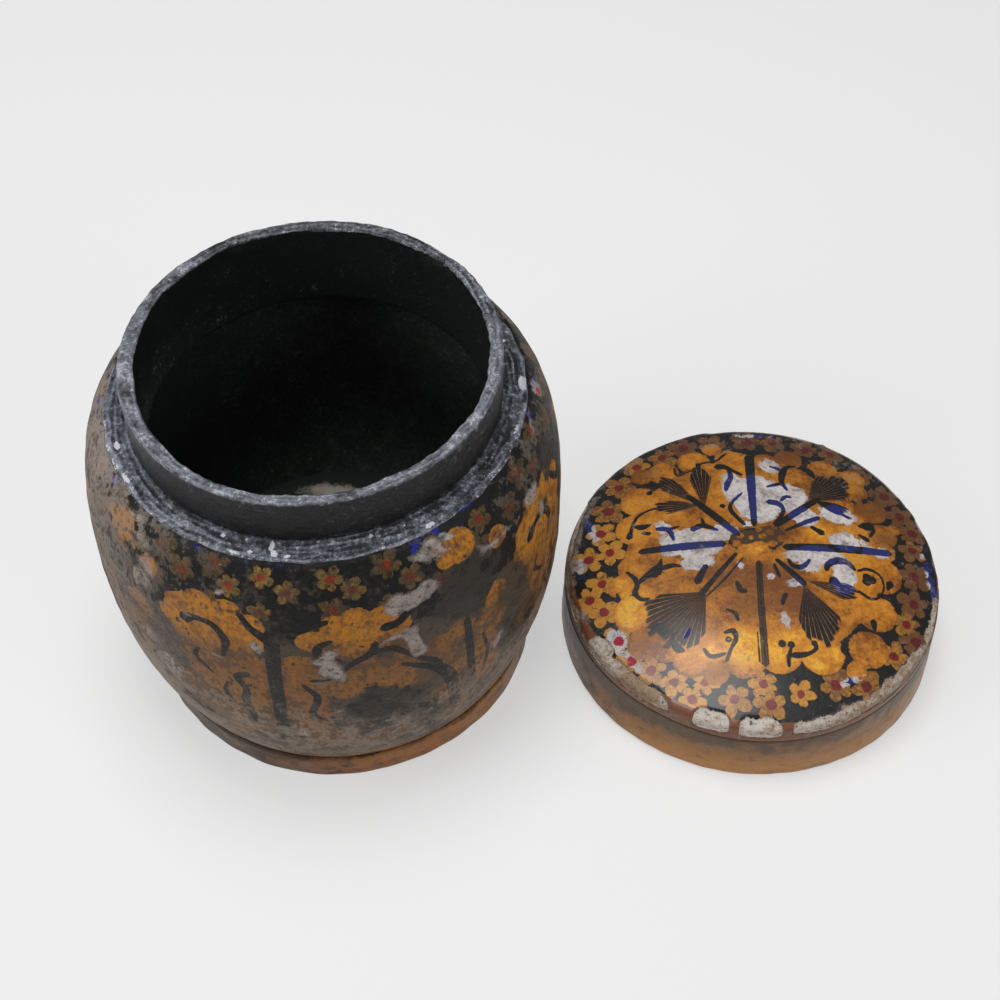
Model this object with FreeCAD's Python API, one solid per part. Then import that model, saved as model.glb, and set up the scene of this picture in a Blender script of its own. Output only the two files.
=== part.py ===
import FreeCAD, Part
import math
import os

# Papier mache storage jar with its loose lid set down beside it. Millimetres, +Z up.
# The origin is on the jar's axis, on the surface that the jar stands on.

# Barrel: radii of the outside, and the rise from each station to the next
waist_radius = 67.3
belly_radius = 79.7
shoulder_inset = 1.3
belly_rise = 60.8
shoulder_rise = 30.0
ledge_rise = 24.0
waist_flare = 26.0
ledge_slope = 50.0
shell_wall = 6.5

# Foot ring, and the floor disc that the barrel's wall holds down in the ring's rebate
foot_height = 11.2
foot_proud = 1.2
foot_lip = 5.0
floor_thickness = 6.0
floor_lap = 2.2

# Neck collar, its thinner tail in the mouth, and the ledge, which is the sawn edge of the barrel
collar_radius = 60.0
collar_height = 18.0
collar_wall = 4.0
collar_step = 1.5
collar_tail = 16.0
socket_depth = 6.0
ledge_width = 7.8

# Lid: the skirt is a plain band, the crown a shallow dome with a short rim
skirt_proud = 0.6
skirt_headroom = 3.6
skirt_taper = 1.0
crown_rim = 6.9
crown_rise = 10.3
crown_wall = 5.5

# Fits, and the place where the lid lies
glue_line = 0.15
lid_clearance = 0.6
lid_gap = 0.9
lid_offset_y = -4.8

# Worn edges
rim_round = 1.2
foot_round = 1.5
groove_round = 0.9
ledge_round = 0.8
crown_round = 2.2
tail_bevel = 1.5

# Stations that follow from the sizes above
belly_height = foot_height + belly_rise
shoulder_height = belly_height + shoulder_rise
ledge_height = shoulder_height + ledge_rise
shoulder_radius = belly_radius - shoulder_inset
jar_height = ledge_height + collar_height
foot_radius = waist_radius + foot_proud
floor_radius = waist_radius - shell_wall + floor_lap
floor_height = foot_height - floor_thickness
tail_radius = collar_radius - collar_step
socket_radius = tail_radius + glue_line
ledge_radius = collar_radius + ledge_width
skirt_radius = ledge_radius + skirt_proud
skirt_height = collar_height + skirt_headroom
lid_bore_radius = collar_radius + lid_clearance
crown_edge_height = skirt_height + crown_rim
crown_radius = skirt_radius - skirt_taper
lid_place = FreeCAD.Vector(belly_radius + skirt_radius + lid_gap, lid_offset_y, 0)

AXIS_FOOT = FreeCAD.Vector(0, 0, 0)
UP = FreeCAD.Vector(0, 0, 1)
EDGE_MATCH = 1e-4


def at(radius, height):
    """A point of an outline: its distance from the axis and its height."""
    return FreeCAD.Vector(radius, 0, height)


def lean(degrees):
    """A direction that leaves the upright outwards by an angle."""
    angle = math.radians(degrees)
    return FreeCAD.Vector(math.sin(angle), 0, math.cos(angle))


def lines(points):
    """Straight edges from each point to the next."""
    return [Part.LineSegment(a, b).toShape() for a, b in zip(points, points[1:])]


def curve(points, first_direction, last_direction):
    """A smooth edge through a few points, with its direction set at both ends."""
    spline = Part.BSplineCurve()
    spline.interpolate(Points=points, InitialTangent=first_direction, FinalTangent=last_direction)
    return [spline.toShape()]


def dome(rim_radius, rim_height, rise):
    """A round arc from a rim up to the axis, which it meets square."""
    arc_radius = (rim_radius**2 + rise**2) / (2 * rise)
    centre_height = rim_height + rise - arc_radius
    halfway = at(rim_radius / 2, centre_height + math.sqrt(arc_radius**2 - rim_radius**2 / 4))
    return [Part.Arc(at(rim_radius, rim_height), halfway, at(0, rim_height + rise)).toShape()]


def dome_drop(radius, rim_radius, rise):
    """How far the dome of a given rim and rise has fallen below its top at a radius."""
    arc_radius = (rim_radius**2 + rise**2) / (2 * rise)
    return arc_radius - math.sqrt(arc_radius**2 - radius**2)


def turned(edges):
    """A closed outline turned once round the axis."""
    return Part.Face(Part.Wire(edges)).revolve(AXIS_FOOT, UP, 360)


def ring_edges(solid, radius, height):
    """The circular edges of a turned solid at one radius and height."""
    drawn = [edge for edge in solid.Edges if not edge.Degenerated]
    circles = [edge for edge in drawn if isinstance(edge.Curve, Part.Circle)]
    return [
        edge
        for edge in circles
        if abs(edge.Curve.Radius - radius) < EDGE_MATCH
        and abs(edge.Curve.Center.z - height) < EDGE_MATCH
    ]


def rounded(solid, corners):
    """A turned solid with each corner, given as radius, height and rounding, worn round."""
    for radius, height, rounding in corners:
        solid = solid.makeFillet(rounding, ring_edges(solid, radius, height))
    return solid.Solids[0]


def foot_ring():
    """The band that the barrel stands on, with a rebate inside for the floor."""
    lip_radius = floor_radius - foot_lip
    rebate_radius = floor_radius + glue_line
    corners = [
        at(lip_radius, 0),
        at(foot_radius, 0),
        at(foot_radius, foot_height),
        at(rebate_radius, foot_height),
        at(rebate_radius, floor_height),
        at(lip_radius, floor_height),
    ]
    ring = turned(lines(corners + corners[:1]))
    return rounded(ring, [(foot_radius, 0, foot_round), (foot_radius, foot_height, groove_round)])


def jar_floor():
    """The disc that closes the barrel, lying on the ring's lip with its top level with the ring."""
    return Part.makeCylinder(floor_radius, floor_thickness, at(0, floor_height))


def lower_shell():
    """The barrel's lower half, from the foot ring to the glued seam at the belly."""
    waist = at(waist_radius, foot_height)
    waist_inside = at(waist_radius - shell_wall, foot_height)
    belly = at(belly_radius, belly_height)
    belly_inside = at(belly_radius - shell_wall, belly_height)
    outside = curve([waist, belly], lean(waist_flare), UP)
    seam = lines([belly, belly_inside])
    inside = curve([belly_inside, waist_inside], -UP, -lean(waist_flare))
    shell = turned(outside + seam + inside + lines([waist_inside, waist]))
    return rounded(shell, [(waist_radius, foot_height, groove_round)])


def upper_shell():
    """The barrel's upper half, from the seam over the shoulder to the ledge and the collar's socket."""
    belly = at(belly_radius, belly_height)
    belly_inside = at(belly_radius - shell_wall, belly_height)
    shoulder = at(shoulder_radius, shoulder_height)
    shoulder_inside = at(shoulder_radius - shell_wall, shoulder_height)
    ledge_edge = at(ledge_radius, ledge_height)
    socket_foot = at(socket_radius, ledge_height - socket_depth)
    outside = curve([belly, shoulder, ledge_edge], UP, lean(-ledge_slope))
    ledge = lines([ledge_edge, at(socket_radius, ledge_height), socket_foot])
    inside = curve([socket_foot, shoulder_inside, belly_inside], -lean(-ledge_slope), -UP)
    shell = turned(outside + ledge + inside + lines([belly_inside, belly]))
    return rounded(shell, [(ledge_radius, ledge_height, ledge_round)])


def neck_collar():
    """The rolled sleeve that the lid slips over, its step on the ledge and its tail in the mouth."""
    inner = collar_radius - collar_wall
    tail = ledge_height - collar_tail
    corners = [
        at(inner, jar_height),
        at(inner, tail + tail_bevel),
        at(inner + tail_bevel, tail),
        at(tail_radius, tail),
        at(tail_radius, ledge_height),
        at(collar_radius, ledge_height),
        at(collar_radius, jar_height),
    ]
    sleeve = turned(lines(corners + corners[:1]))
    return rounded(sleeve, [(collar_radius, jar_height, rim_round), (inner, jar_height, rim_round)])


def lid_skirt():
    """The band of the lid, whose lower edge sits on the ledge when the lid is on the collar."""
    top_radius = skirt_radius - skirt_taper * skirt_height / crown_edge_height
    corners = [
        at(lid_bore_radius, 0),
        at(skirt_radius, 0),
        at(top_radius, skirt_height),
        at(lid_bore_radius, skirt_height),
    ]
    band = turned(lines(corners + corners[:1]))
    band = rounded(band, [(skirt_radius, 0, foot_round), (top_radius, skirt_height, groove_round)])
    return band.translated(lid_place)


def lid_crown():
    """The domed top of the lid with its short rim, glued on the skirt, hollow underneath."""
    base_radius = skirt_radius - skirt_taper * skirt_height / crown_edge_height
    crown_top = crown_edge_height + crown_rise
    hollow_top = crown_top - crown_wall
    hollow_drop = dome_drop(lid_bore_radius, crown_radius, crown_rise)
    hollow_edge = at(lid_bore_radius, hollow_top - hollow_drop)
    outer = lines([at(base_radius, skirt_height), at(crown_radius, crown_edge_height)])
    outer += dome(crown_radius, crown_edge_height, crown_rise)
    hollow = dome(lid_bore_radius, hollow_top - hollow_drop, hollow_drop)
    middle = lines([at(0, crown_top), at(0, hollow_top)])
    rim = lines([hollow_edge, at(lid_bore_radius, skirt_height), at(base_radius, skirt_height)])
    cap = turned(outer + middle + hollow + rim)
    corners = [(base_radius, skirt_height, groove_round), (crown_radius, crown_edge_height, crown_round)]
    return rounded(cap, corners).translated(lid_place)


PIECES = {
    "foot_ring": foot_ring,
    "jar_floor": jar_floor,
    "lower_shell": lower_shell,
    "upper_shell": upper_shell,
    "neck_collar": neck_collar,
    "lid_skirt": lid_skirt,
    "lid_crown": lid_crown,
}

os.makedirs("parts", exist_ok=True)
for name, make in PIECES.items():
    piece = make()
    piece.exportStep(f"parts/{name}.step")
    print(f"{name}: valid {piece.isValid()}, {piece.Volume / 1000:.1f} cm3")
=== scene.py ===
import logging
import math
from dataclasses import dataclass, field
from enum import Enum
from typing import Sequence, Union

import bpy
import numpy as np
from mathutils import Matrix, Vector


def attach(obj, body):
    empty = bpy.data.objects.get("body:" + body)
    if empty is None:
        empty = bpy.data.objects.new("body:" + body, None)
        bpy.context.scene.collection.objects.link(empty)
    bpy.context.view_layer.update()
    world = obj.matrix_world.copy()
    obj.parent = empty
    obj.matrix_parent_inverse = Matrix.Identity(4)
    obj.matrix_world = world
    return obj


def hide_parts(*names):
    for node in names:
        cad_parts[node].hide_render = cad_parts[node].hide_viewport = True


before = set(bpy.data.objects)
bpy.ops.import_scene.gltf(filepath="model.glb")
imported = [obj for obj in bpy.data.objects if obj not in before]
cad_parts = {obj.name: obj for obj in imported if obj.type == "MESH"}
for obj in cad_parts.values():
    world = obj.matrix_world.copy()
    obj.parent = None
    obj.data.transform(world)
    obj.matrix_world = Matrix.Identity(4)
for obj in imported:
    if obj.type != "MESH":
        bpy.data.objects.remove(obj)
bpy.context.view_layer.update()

MM = 0.001
LOG = logging.getLogger("papier_mache_jar")

Array = np.ndarray
Colour = tuple[float, float, float]
Pair = tuple[float, float]


class Zone(Enum):
    """Which side of a turned wall a stretch of its outline is."""

    SKIN = 0
    LEDGE = 1
    INSIDE = 2


# Outlines and turned skins

# Faces that meet at more than this angle, in degrees, keep a sharp edge
CREASE = 50.0


def straight(start: Pair, end: Pair, stations: int) -> Array:
    """A straight stretch of an outline.

    Args:
        start: radius and height of its first point, in millimetres.
        end: radius and height of its last point.
        stations: how many points it has.
    Returns:
        The points, one row each.
    """
    return np.linspace(start, end, stations)


def swept(start: Pair, start_lean: float, end: Pair, end_lean: float, stations: int) -> Array:
    """A smooth stretch: the cubic that leaves its first point and reaches its last one at set leans.

    Both end tangents are as long as the chord, and a lean is degrees off the upright, outwards.

    Args:
        start: radius and height of the first point, in millimetres.
        start_lean: direction at the first point.
        end: radius and height of the last point.
        end_lean: direction at the last point.
        stations: how many points it has.
    Returns:
        The points, one row each.
    """
    first, last = np.array(start, float), np.array(end, float)
    chord = np.linalg.norm(last - first)
    leave = chord * np.array([math.sin(math.radians(start_lean)), math.cos(math.radians(start_lean))])
    reach = chord * np.array([math.sin(math.radians(end_lean)), math.cos(math.radians(end_lean))])
    t = np.linspace(0.0, 1.0, stations)[:, None]
    away = (2 * t**3 - 3 * t**2 + 1) * first + (t**3 - 2 * t**2 + t) * leave
    return away + (3 * t**2 - 2 * t**3) * last + (t**3 - t**2) * reach


def corner(centre: Pair, radius: float, first: float, last: float, stations: int) -> Array:
    """A round corner: part of a circle, by angle from the outward direction.

    Args:
        centre: radius and height of the circle's centre, in millimetres.
        radius: of the circle.
        first: angle of the first point, in degrees.
        last: angle of the last point.
        stations: how many points it has.
    Returns:
        The points, one row each.
    """
    turn = np.radians(np.linspace(first, last, stations))
    return np.array(centre) + radius * np.stack([np.cos(turn), np.sin(turn)], axis=1)


def dome(rim_radius: float, rim_height: float, rise: float, stations: int) -> Array:
    """A shallow round cap: the arc through its rim that meets the axis square.

    Args:
        rim_radius: of the cap, in millimetres.
        rim_height: height of its rim.
        rise: height of its top above the rim.
        stations: how many points it has, from the rim to the axis.
    Returns:
        The points, one row each.
    """
    arc_radius = (rim_radius**2 + rise**2) / (2 * rise)
    radius = np.linspace(rim_radius, 0.0, stations)
    height = rim_height + rise - arc_radius + np.sqrt(arc_radius**2 - radius**2)
    return np.stack([radius, height], axis=1)


@dataclass
class Outline:
    """The outline of a turned piece, walked with the material on its left, in named stretches."""

    points: list[Array] = field(default_factory=list)
    zones: list[Array] = field(default_factory=list)

    def add(self, stretch: Array, zone: Zone) -> "Outline":
        """Append a stretch without its last point, which the next stretch begins with.

        Args:
            stretch: its points.
            zone: the side of the wall that it is on.
        Returns:
            The outline itself.
        """
        self.points.append(stretch[:-1])
        self.zones.append(np.full(len(stretch) - 1, zone.value))
        return self

    def end(self, stretch: Array, zone: Zone) -> "Outline":
        """Append a stretch with its last point.

        Args:
            stretch: its points.
            zone: the side of the wall that it is on.
        Returns:
            The outline itself.
        """
        self.points.append(stretch)
        self.zones.append(np.full(len(stretch), zone.value))
        return self


class Turned:
    """An outline turned round an axis: a grid of angle by station, which may then be made uneven.

    A point of the grid is (radius cos angle + lean_x, radius sin angle + lean_y, height). One column more
    than is needed repeats the first at a full turn, so that patterns carry on over the seam.
    """

    def __init__(self, outline: Outline, columns: int, poles: bool = False) -> None:
        """Lay out the grid.

        Args:
            outline: radius and height of each station.
            columns: how many steps go round the axis.
            poles: whether the outline starts and ends on the axis, else it closes on itself.
        """
        stations = np.concatenate(outline.points)
        self.zone = np.concatenate(outline.zones)
        self.columns, self.count, self.poles = columns, len(stations), poles
        self.angle = np.linspace(0.0, 2 * math.pi, columns + 1)[:, None] * np.ones((1, self.count))
        self.radius = np.ones((columns + 1, 1)) * stations[None, :, 0]
        self.height = np.ones((columns + 1, 1)) * stations[None, :, 1]
        step = np.hypot(*np.diff(stations, axis=0).T)
        self.along = np.concatenate([[0.0], np.cumsum(step)])[None, :] * np.ones((columns + 1, 1))
        self.lean_x = np.zeros_like(self.radius)
        self.lean_y = np.zeros_like(self.radius)

    def number(self, column: Array, station: Array) -> Array:
        """The number of the vertex at a column and a station, with both wrapped round.

        Args:
            column: step round the axis, for each corner.
            station: point of the outline, for each corner.
        Returns:
            One number for each corner.
        """
        column = column % self.columns
        if not self.poles:
            return column * self.count + station % self.count
        inner = 1 + column * (self.count - 2) + station - 1
        last = 1 + self.columns * (self.count - 2)
        return np.where(station == 0, 0, np.where(station == self.count - 1, last, inner))

    def faces(self) -> list[tuple[Array, Array]]:
        """The faces of the grid: quads, then the triangles at the poles, if it has them.

        Returns:
            Groups of equal corner count, each as its corners' columns and stations.
        """
        first, last = (1, self.count - 2) if self.poles else (0, self.count)
        column, station = np.meshgrid(np.arange(self.columns), np.arange(first, last), indexing="ij")
        column, station = column.ravel(), station.ravel()
        quads = (
            np.stack([column, column + 1, column + 1, column], axis=1),
            np.stack([station, station, station + 1, station + 1], axis=1),
        )
        if not self.poles:
            return [quads]
        ring, flat = np.arange(self.columns), np.zeros(self.columns, int)
        low = (np.stack([ring, ring + 1, ring], axis=1), np.stack([flat, flat + 1, flat + 1], axis=1))
        top = flat + self.count - 1
        high = (np.stack([ring, ring + 1, ring], axis=1), np.stack([top - 1, top - 1, top], axis=1))
        return [quads, low, high]

    def at_corners(self, grid: Array) -> Array:
        """A grid's values at every face corner, in the mesh's own order."""
        return np.concatenate([grid[c, s % self.count].ravel() for c, s in self.faces()])

    def at_faces(self, grid: Array) -> Array:
        """A grid's mean over the corners of every face."""
        return np.concatenate([grid[c, s % self.count].mean(axis=1) for c, s in self.faces()])

    def at_points(self, grid: Array) -> Array:
        """A grid's values at every vertex.

        Args:
            grid: of angle by station.
        Returns:
            One value per vertex, in the mesh's own order.
        """
        if not self.poles:
            return grid[:-1].ravel()
        return np.concatenate([grid[:1, 0], grid[:-1, 1:-1].ravel(), grid[:1, -1]])

    def where(self, zone: Zone) -> Array:
        """A grid of 1 on the stations of a zone and 0 on the others."""
        return np.where(self.zone == zone.value, 1.0, 0.0)[None, :] * np.ones_like(self.radius)

    def mark(self, mesh: bpy.types.Mesh, **grids: Union[Array, float]) -> None:
        """Store named numbers at the points of the mesh.

        Args:
            mesh: made from this grid.
            grids: each a grid, or one number for all points.
        """
        for name, grid in grids.items():
            layer = mesh.attributes.new(name, "FLOAT", "POINT")
            values = self.at_points(np.broadcast_to(grid, self.radius.shape))
            layer.data.foreach_set("value", np.ascontiguousarray(values, np.float32))

    def face_of_corner(self) -> Array:
        """The number of the face that each corner belongs to."""
        sizes = np.concatenate([np.full(len(c), c.shape[1]) for c, _ in self.faces()])
        return np.repeat(np.arange(len(sizes)), sizes)

    def mesh(self, name: str, place: Pair = (0.0, 0.0)) -> bpy.types.Mesh:
        """Make the mesh, in metres.

        Args:
            name: of the mesh.
            place: x and y of the axis, in millimetres.
        Returns:
            A closed smooth mesh, its material numbers counting the zones that it has.
        """
        across = self.radius * np.cos(self.angle) + self.lean_x + place[0]
        deep = self.radius * np.sin(self.angle) + self.lean_y + place[1]
        points = np.stack([self.at_points(g) for g in (across, deep, self.height)], axis=1) * MM
        groups = [self.number(c, s) for c, s in self.faces()]
        corners = np.concatenate([g.ravel() for g in groups])
        sizes = np.concatenate([np.full(len(g), g.shape[1]) for g in groups])
        mesh = bpy.data.meshes.new(name)
        mesh.vertices.add(len(points))
        mesh.vertices.foreach_set("co", points.ravel())
        mesh.loops.add(len(corners))
        mesh.loops.foreach_set("vertex_index", corners)
        mesh.polygons.add(len(sizes))
        mesh.polygons.foreach_set("loop_start", np.concatenate([[0], np.cumsum(sizes)[:-1]]))
        mesh.polygons.foreach_set("use_smooth", np.ones(len(sizes), bool))
        zone = np.concatenate([self.zone[s[:, 0] % self.count] for _, s in self.faces()])
        mesh.polygons.foreach_set("material_index", np.searchsorted(np.unique(zone), zone))
        mesh.update(calc_edges=True)
        mesh.validate()
        mesh.set_sharp_from_angle(angle=math.radians(CREASE))
        return mesh


# A pitch so long that waves stand upright
UPRIGHT = 1e6


def ripples(around: Array, along: Array, turns: Pair, pitch: float, seed: int, waves: int = 7) -> Array:
    """Hand-made unevenness: a sum of cosines, each with whole turns round the axis and its own slant.

    Args:
        around: angle of each point, in radians.
        along: height or outline length of each point, in millimetres.
        turns: least and most waves per turn.
        pitch: shortest wave along the height, in millimetres.
        seed: of the waves' numbers.
        waves: how many are added.
    Returns:
        Values of about -1 to 1.
    """
    dice = np.random.default_rng(seed)
    total = np.zeros_like(around)
    for _ in range(waves):
        count = dice.integers(int(turns[0]), int(turns[1]) + 1)
        slant = dice.uniform(-1.0, 1.0) * 2 * math.pi / pitch
        total += np.cos(count * around + slant * along + dice.uniform(0, 2 * math.pi))
    return total / math.sqrt(2.0 * waves)


def swell(angle: Array, centre: float, width: float) -> Array:
    """A smooth bump of height 1 round an angle: a bell over the wrapped difference, all in degrees."""
    apart = (np.degrees(angle) - centre + 180.0) % 360.0 - 180.0
    return np.exp(-((apart / width) ** 2))


def ramp(value: Array, low: float, high: float) -> Array:
    """A smooth step from 0 at low to 1 at high."""
    t = np.clip((value - low) / (high - low), 0.0, 1.0)
    return t * t * (3 - 2 * t)


# Brushwork, laid out on an unrolled skin

# What a face corner carries far from every stroke and every feathered leaf
NO_STROKE = (9.0, -9.0, 0.0)
NO_TUFT = (-9.0, 0.0, 1.0)
NO_TUFT_SIZE = (1.0, 0.0, 0.0)
# How far beside its edge a stroke still claims a face, and how far round it faces are looked for
STROKE_CLAIM = 2.0
STROKE_SEARCH = 4.0
# How fast a stroke narrows past its ends
STROKE_TAPER = 1.2
# How far a feathered leaf claims faces beside its fan, in radians, and past its tip, in millimetres
TUFT_MARGIN = 0.12
TUFT_SEARCH = 2.0
# How many millimetres further off a face counts at the side of a fan than on its middle line
TUFT_SIDE = 20.0
# Distances of spots that no disc and no patch is near
NO_DISC = 50.0
NO_PATCH = -20.0


@dataclass(frozen=True)
class Stroke:
    """A brush stroke: points with their half-widths, in millimetres, and whether hairlines split it."""

    points: tuple[tuple[float, float, float], ...]
    split: float = 0.0

    def path(self, samples: int = 18) -> Array:
        """The stroke's smooth centre line: a Catmull-Rom curve through its points and half-widths.

        Args:
            samples: how many points the line has.
        Returns:
            Rows of two lengths and a half-width.
        """
        knots = np.array(self.points, float)
        padded = np.concatenate([2 * knots[:1] - knots[1:2], knots, 2 * knots[-1:] - knots[-2:-1]])
        spot = np.linspace(0, len(knots) - 1 - 1e-6, samples)
        cell = spot.astype(int)
        t = (spot - cell)[:, None]
        a, b, c, d = (padded[cell + k] for k in range(4))
        bend = (2 * a - 5 * b + 4 * c - d) * t**2 + (3 * b - a - 3 * c + d) * t**3
        return 0.5 * (2 * b + (c - a) * t + bend)


@dataclass(frozen=True)
class Tuft:
    """A feathered leaf: brush lines that fan out from one point, and how much of the gaps they fill."""

    base: Pair
    direction: float
    length: float
    spread: float
    lines: int
    fill: float = 0.3


@dataclass(frozen=True)
class Patch:
    """An uneven spot on a skin: its middle, its two half-sizes and its turn."""

    middle: Pair
    half: Pair
    turn: float = 0.0


@dataclass
class Canvas:
    """A skin unrolled flat: where its face corners and face middles lie, in millimetres."""

    corners: Array
    face: Array
    middles: Array
    stretch: Array
    period: float = 0.0

    @classmethod
    def of(cls, skin: Turned, across: Array, up: Array, stretch: Union[Array, float],
           period: float = 0.0) -> "Canvas":
        """Unroll a turned skin.

        Args:
            skin: the grid.
            across: first flat length of each of its points.
            up: second flat length.
            stretch: true length over flat length, along the first.
            period: flat length of a full turn, if the skin comes round.
        Returns:
            The canvas.
        """
        corners = np.column_stack([skin.at_corners(across), skin.at_corners(up)])
        middles = np.column_stack([skin.at_faces(across), skin.at_faces(up)])
        true = skin.at_corners(np.broadcast_to(stretch, across.shape))
        return cls(corners, skin.face_of_corner(), middles, true, period)

    def draw(self, mesh: bpy.types.Mesh, places: Array, dice: np.random.Generator,
             strokes: Sequence[tuple[Pair, Stroke]], tufts: Sequence[tuple[Pair, Tuft]]) -> None:
        """Store flowers, strokes and feathered leaves at the mesh's face corners.

        Args:
            mesh: of the skin.
            places: the flowers' middles.
            dice: for the flowers' seeds.
            strokes: each with the place that its points count from.
            tufts: each with the place that its base counts from.
        """
        where, sizes = self.tufts(tufts)
        seeds = dice.uniform(0, 1, len(places))
        rows = {"flower": self.flowers(places, seeds), "stroke": self.strokes(strokes), "tuft": where,
                "tuft_size": sizes}
        for name, values in rows.items():
            layer = mesh.attributes.new(name, "FLOAT_VECTOR", "CORNER")
            layer.data.foreach_set("vector", np.ascontiguousarray(values, np.float32).ravel())

    def wrapped(self, apart: Array) -> Array:
        """How many whole turns lie between two places."""
        return self.period * np.round(apart / self.period) if self.period else np.zeros_like(apart)

    def from_place(self, place: Array) -> tuple[Array, Array]:
        """Offsets of all faces from a place, each face on its nearer side.

        Args:
            place: two lengths, in millimetres.
        Returns:
            The offsets of the face middles, and those of the face corners.
        """
        turns = self.wrapped(self.middles[:, 0] - place[0])
        middles = self.middles - place
        middles[:, 0] -= turns
        corners = self.corners - place
        corners[:, 0] -= turns[self.face]
        return middles, corners

    def flowers(self, places: Array, seeds: Array) -> Array:
        """Every corner's offset from the flower that is nearest to its face, and that flower's seed.

        Args:
            places: the flowers' middles.
            seeds: a number from 0 to 1 for each.
        Returns:
            One row of offset, offset and seed per corner.
        """
        nearest = np.full(len(self.middles), np.inf)
        owner = np.zeros(len(self.middles), int)
        for number, place in enumerate(places):
            apart = self.middles - place
            apart[:, 0] -= self.wrapped(apart[:, 0])
            distance = np.hypot(apart[:, 0], apart[:, 1])
            owner = np.where(distance < nearest, number, owner)
            nearest = np.minimum(distance, nearest)
        turns = self.wrapped(self.middles[:, 0] - places[owner, 0])
        offset = self.corners - places[owner][self.face]
        offset[:, 0] = (offset[:, 0] - turns[self.face]) * self.stretch
        return np.column_stack([offset, seeds[owner][self.face]])

    def strokes(self, strokes: Sequence[tuple[Pair, Stroke]]) -> Array:
        """Every corner's distance from the middle of the stroke that is nearest to its face.

        Args:
            strokes: each with the place that its points count from.
        Returns:
            One row of signed distance, half-width there and split per corner.
        """
        drawn = np.tile(NO_STROKE, (len(self.corners), 1))
        best = np.full(len(self.middles), STROKE_CLAIM)
        for place, stroke in strokes:
            path = stroke.path()
            middles, corners = self.from_place(np.array(place))
            low, high = path[:, :2].min(0) - STROKE_SEARCH, path[:, :2].max(0) + STROKE_SEARCH
            close = np.flatnonzero(np.all((middles > low) & (middles < high), axis=1))
            if len(close) == 0:
                continue
            away, half = brush_distance(middles[close], path)
            score = np.abs(away) - half
            taken = np.zeros(len(self.middles), bool)
            taken[close[score < best[close]]] = True
            best[close] = np.minimum(best[close], score)
            mine = np.flatnonzero(taken[self.face])
            away, half = brush_distance(corners[mine], path)
            drawn[mine] = np.column_stack([away, half, np.full(len(mine), stroke.split)])
        return drawn

    def tufts(self, tufts: Sequence[tuple[Pair, Tuft]]) -> tuple[Array, Array]:
        """Every corner's place in the feathered leaf that is nearest to its face.

        Args:
            tufts: each with the place that its base counts from.
        Returns:
            Rows of length along the leaf, offset across it and angle between its lines, and rows of the
            leaf's length, fill and half-spread.
        """
        where = np.tile(NO_TUFT, (len(self.corners), 1))
        sizes = np.tile(NO_TUFT_SIZE, (len(self.corners), 1))
        best = np.full(len(self.middles), np.inf)
        for place, tuft in tufts:
            turn = math.radians(tuft.direction)
            spin = np.array([[math.cos(turn), -math.sin(turn)], [math.sin(turn), math.cos(turn)]])
            middles, corners = self.from_place(np.array(place) + np.array(tuft.base))
            middles, corners = middles @ spin, corners @ spin
            half = math.radians(tuft.spread) / 2
            off = np.abs(np.arctan2(middles[:, 1], middles[:, 0])) / (half + TUFT_MARGIN)
            score = np.hypot(middles[:, 0], middles[:, 1]) + TUFT_SIDE * off
            inside = (off < 1.0) & (middles[:, 0] < tuft.length + TUFT_SEARCH) & (score < best)
            best = np.where(inside, score, best)
            mine = inside[self.face]
            count = int(mine.sum())
            where[mine] = np.column_stack([corners[mine], np.full(count, 2 * half / tuft.lines)])
            sizes[mine] = np.tile([tuft.length, tuft.fill, half], (count, 1))
        return where, sizes


def brush_distance(spots: Array, path: Array) -> tuple[Array, Array]:
    """Distance of spots from a brushed line, signed by side, and the line's half-width beside them.

    Past either end the distance is still taken square to the last stretch, and the half-width shrinks by
    what the spot lies beyond it, so the stroke ends in a point.

    Args:
        spots: rows of two numbers, in millimetres.
        path: rows of the line's points with their half-widths.
    Returns:
        The signed distances and the half-widths.
    """
    start, step = path[:-1, :2], np.diff(path[:, :2], axis=0)
    length = np.maximum(np.hypot(step[:, 0], step[:, 1]), 1e-6)
    ahead = step / length[:, None]
    offset = spots[:, None, :] - start[None]
    along = np.einsum("sij,ij->si", offset, ahead)
    side = offset[:, :, 1] * ahead[:, 0] - offset[:, :, 0] * ahead[:, 1]
    inside = np.clip(along, 0.0, length)
    pick = np.argmin(np.hypot(along - inside, side), axis=1)
    row = np.arange(len(spots))
    over = np.abs(along - inside)[row, pick]
    share = inside[row, pick] / length[pick]
    half = path[pick, 2] * (1 - share) + path[pick + 1, 2] * share - STROKE_TAPER * over
    return side[row, pick], half


def lobed(across: Array, up: Array, lobes: Array, period: float = 0.0) -> Array:
    """Distance from the edge of a field made of overlapping discs, negative inside.

    Args:
        across: first length of each spot, in millimetres.
        up: second length of each spot.
        lobes: rows of the discs' middles and radii.
        period: length after which the skin comes round again, if it does.
    Returns:
        One distance per spot.
    """
    nearest = np.full_like(across, NO_DISC)
    for middle, height, radius in lobes:
        apart = across - middle
        if period:
            apart = apart - period * np.round(apart / period)
        nearest = np.minimum(nearest, np.hypot(apart, up - height) - radius)
    return nearest


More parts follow.
